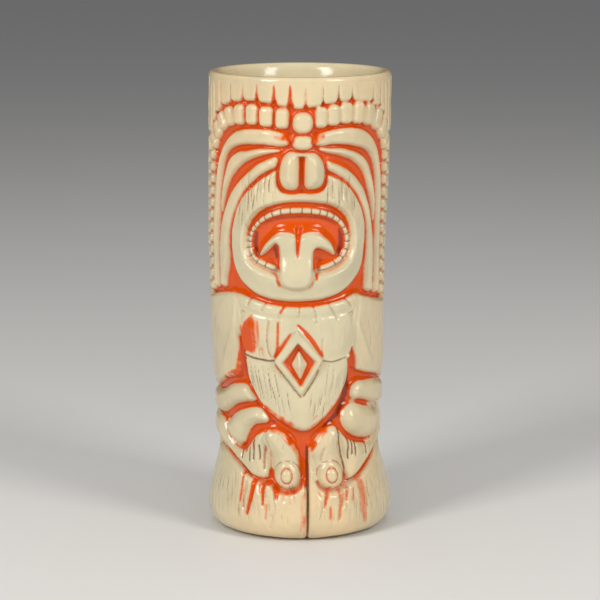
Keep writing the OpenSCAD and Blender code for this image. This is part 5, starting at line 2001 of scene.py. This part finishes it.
@dataclass
class Studio:
    """A pale floor, soft boxes and the camera."""

    camera_at: tuple[float, float, float] = (0.0, -0.880, 0.242)
    aim: tuple[float, float, float] = (0.0, 0.0, 0.08175)
    lens: float = 148.4

    def build(self) -> None:
        """Set the studio up round the mug."""
        bpy.context.scene.view_settings.view_transform = "Standard"
        self.floor()
        self.softbox("key_left", (-0.55, -0.62, 0.58), (0.26, 0.5), 4.9)
        self.softbox("key_right", (0.58, -0.55, 0.56), (0.26, 0.5), 3.8)
        self.softbox("front_fill", (0.0, -1.3, 0.35), (0.9, 0.6), 3.2, False)
        self.softbox("overhead", (0.0, 0.1, 1.1), (0.9, 0.9), 3.0, False)
        world = bpy.data.worlds.new("studio")
        bpy.context.scene.world = world
        world.use_nodes = True
        sky = world.node_tree.nodes["Background"].inputs
        sky["Color"].default_value = (0.86, 0.87, 0.9, 1)
        sky["Strength"].default_value = 0.25
        world.cycles_visibility.glossy = False
        data = bpy.data.cameras.new("camera")
        camera = bpy.data.objects.new("camera", data)
        bpy.context.scene.collection.objects.link(camera)
        camera.location = self.camera_at
        camera.rotation_mode = "QUATERNION"
        camera.rotation_quaternion = (Vector(self.aim) - Vector(self.camera_at)).to_track_quat("-Z",
                                                                                               "Y")
        data.lens = self.lens
        data.sensor_width = 36
        bpy.context.scene.camera = camera

    def floor(self) -> None:
        """A plain pale floor."""
        bpy.ops.object.select_all(action="DESELECT")
        bpy.ops.mesh.primitive_plane_add(size=1, location=(0, 0, 0))
        obj = bpy.context.object
        obj.name = "floor"
        obj.scale = (12, 12, 1)
        bpy.ops.object.transform_apply(location=False, rotation=False, scale=True)
        mat = bpy.data.materials.new("pale_floor")
        mat.use_nodes = True
        shader = mat.node_tree.nodes["Principled BSDF"]
        shader.inputs["Base Color"].default_value = (0.74, 0.73, 0.71, 1)
        shader.inputs["Roughness"].default_value = 0.7
        obj.data.materials.append(mat)

    def softbox(self, name: str, at: tuple[float, float, float], size: tuple[float, float],
                power: float,
                reflected: bool = True) -> None:
        """Hang one rectangular light, aimed at the mug's middle.

        Args:
            name: the light's name.
            at: its place.
            size: width and height.
            power: watts.
            reflected: whether the glaze reflects it.
        """
        data = bpy.data.lights.new(name, "AREA")
        data.shape = "RECTANGLE"
        data.size, data.size_y = size
        data.energy = power
        data.color = (1.0, 0.985, 0.955)
        obj = bpy.data.objects.new(name, data)
        bpy.context.scene.collection.objects.link(obj)
        obj.location = at
        obj.visible_glossy = reflected
        obj.rotation_mode = "QUATERNION"
        obj.rotation_quaternion = (Vector((0, 0, 0.085)) - Vector(at)).to_track_quat("-Z", "Y")


def main() -> None:
    """Carve, roll, cut and dress the mug, then set the studio up."""
    logging.basicConfig(level=logging.INFO, format="%(name)s %(message)s")
    Studio().build()
    clay = Clay()
    Figure().carve(clay)
    cup = Cup()
    rolled = Rolled(clay, cup)
    LOG.info("board of %d by %d points, %d members", *clay.x.shape, len(rolled.names))
    glaze = Glaze().material("wiped_glaze")
    bare = Bisque().material("bare_clay")
    potter = Potter(rolled, cup, glaze, bare)
    for name, obj in sorted(potter.members().items()):
        potter.finish(obj, name)
    potter.finish(potter.body(), "cup")


if __name__ == "__main__":
    main()
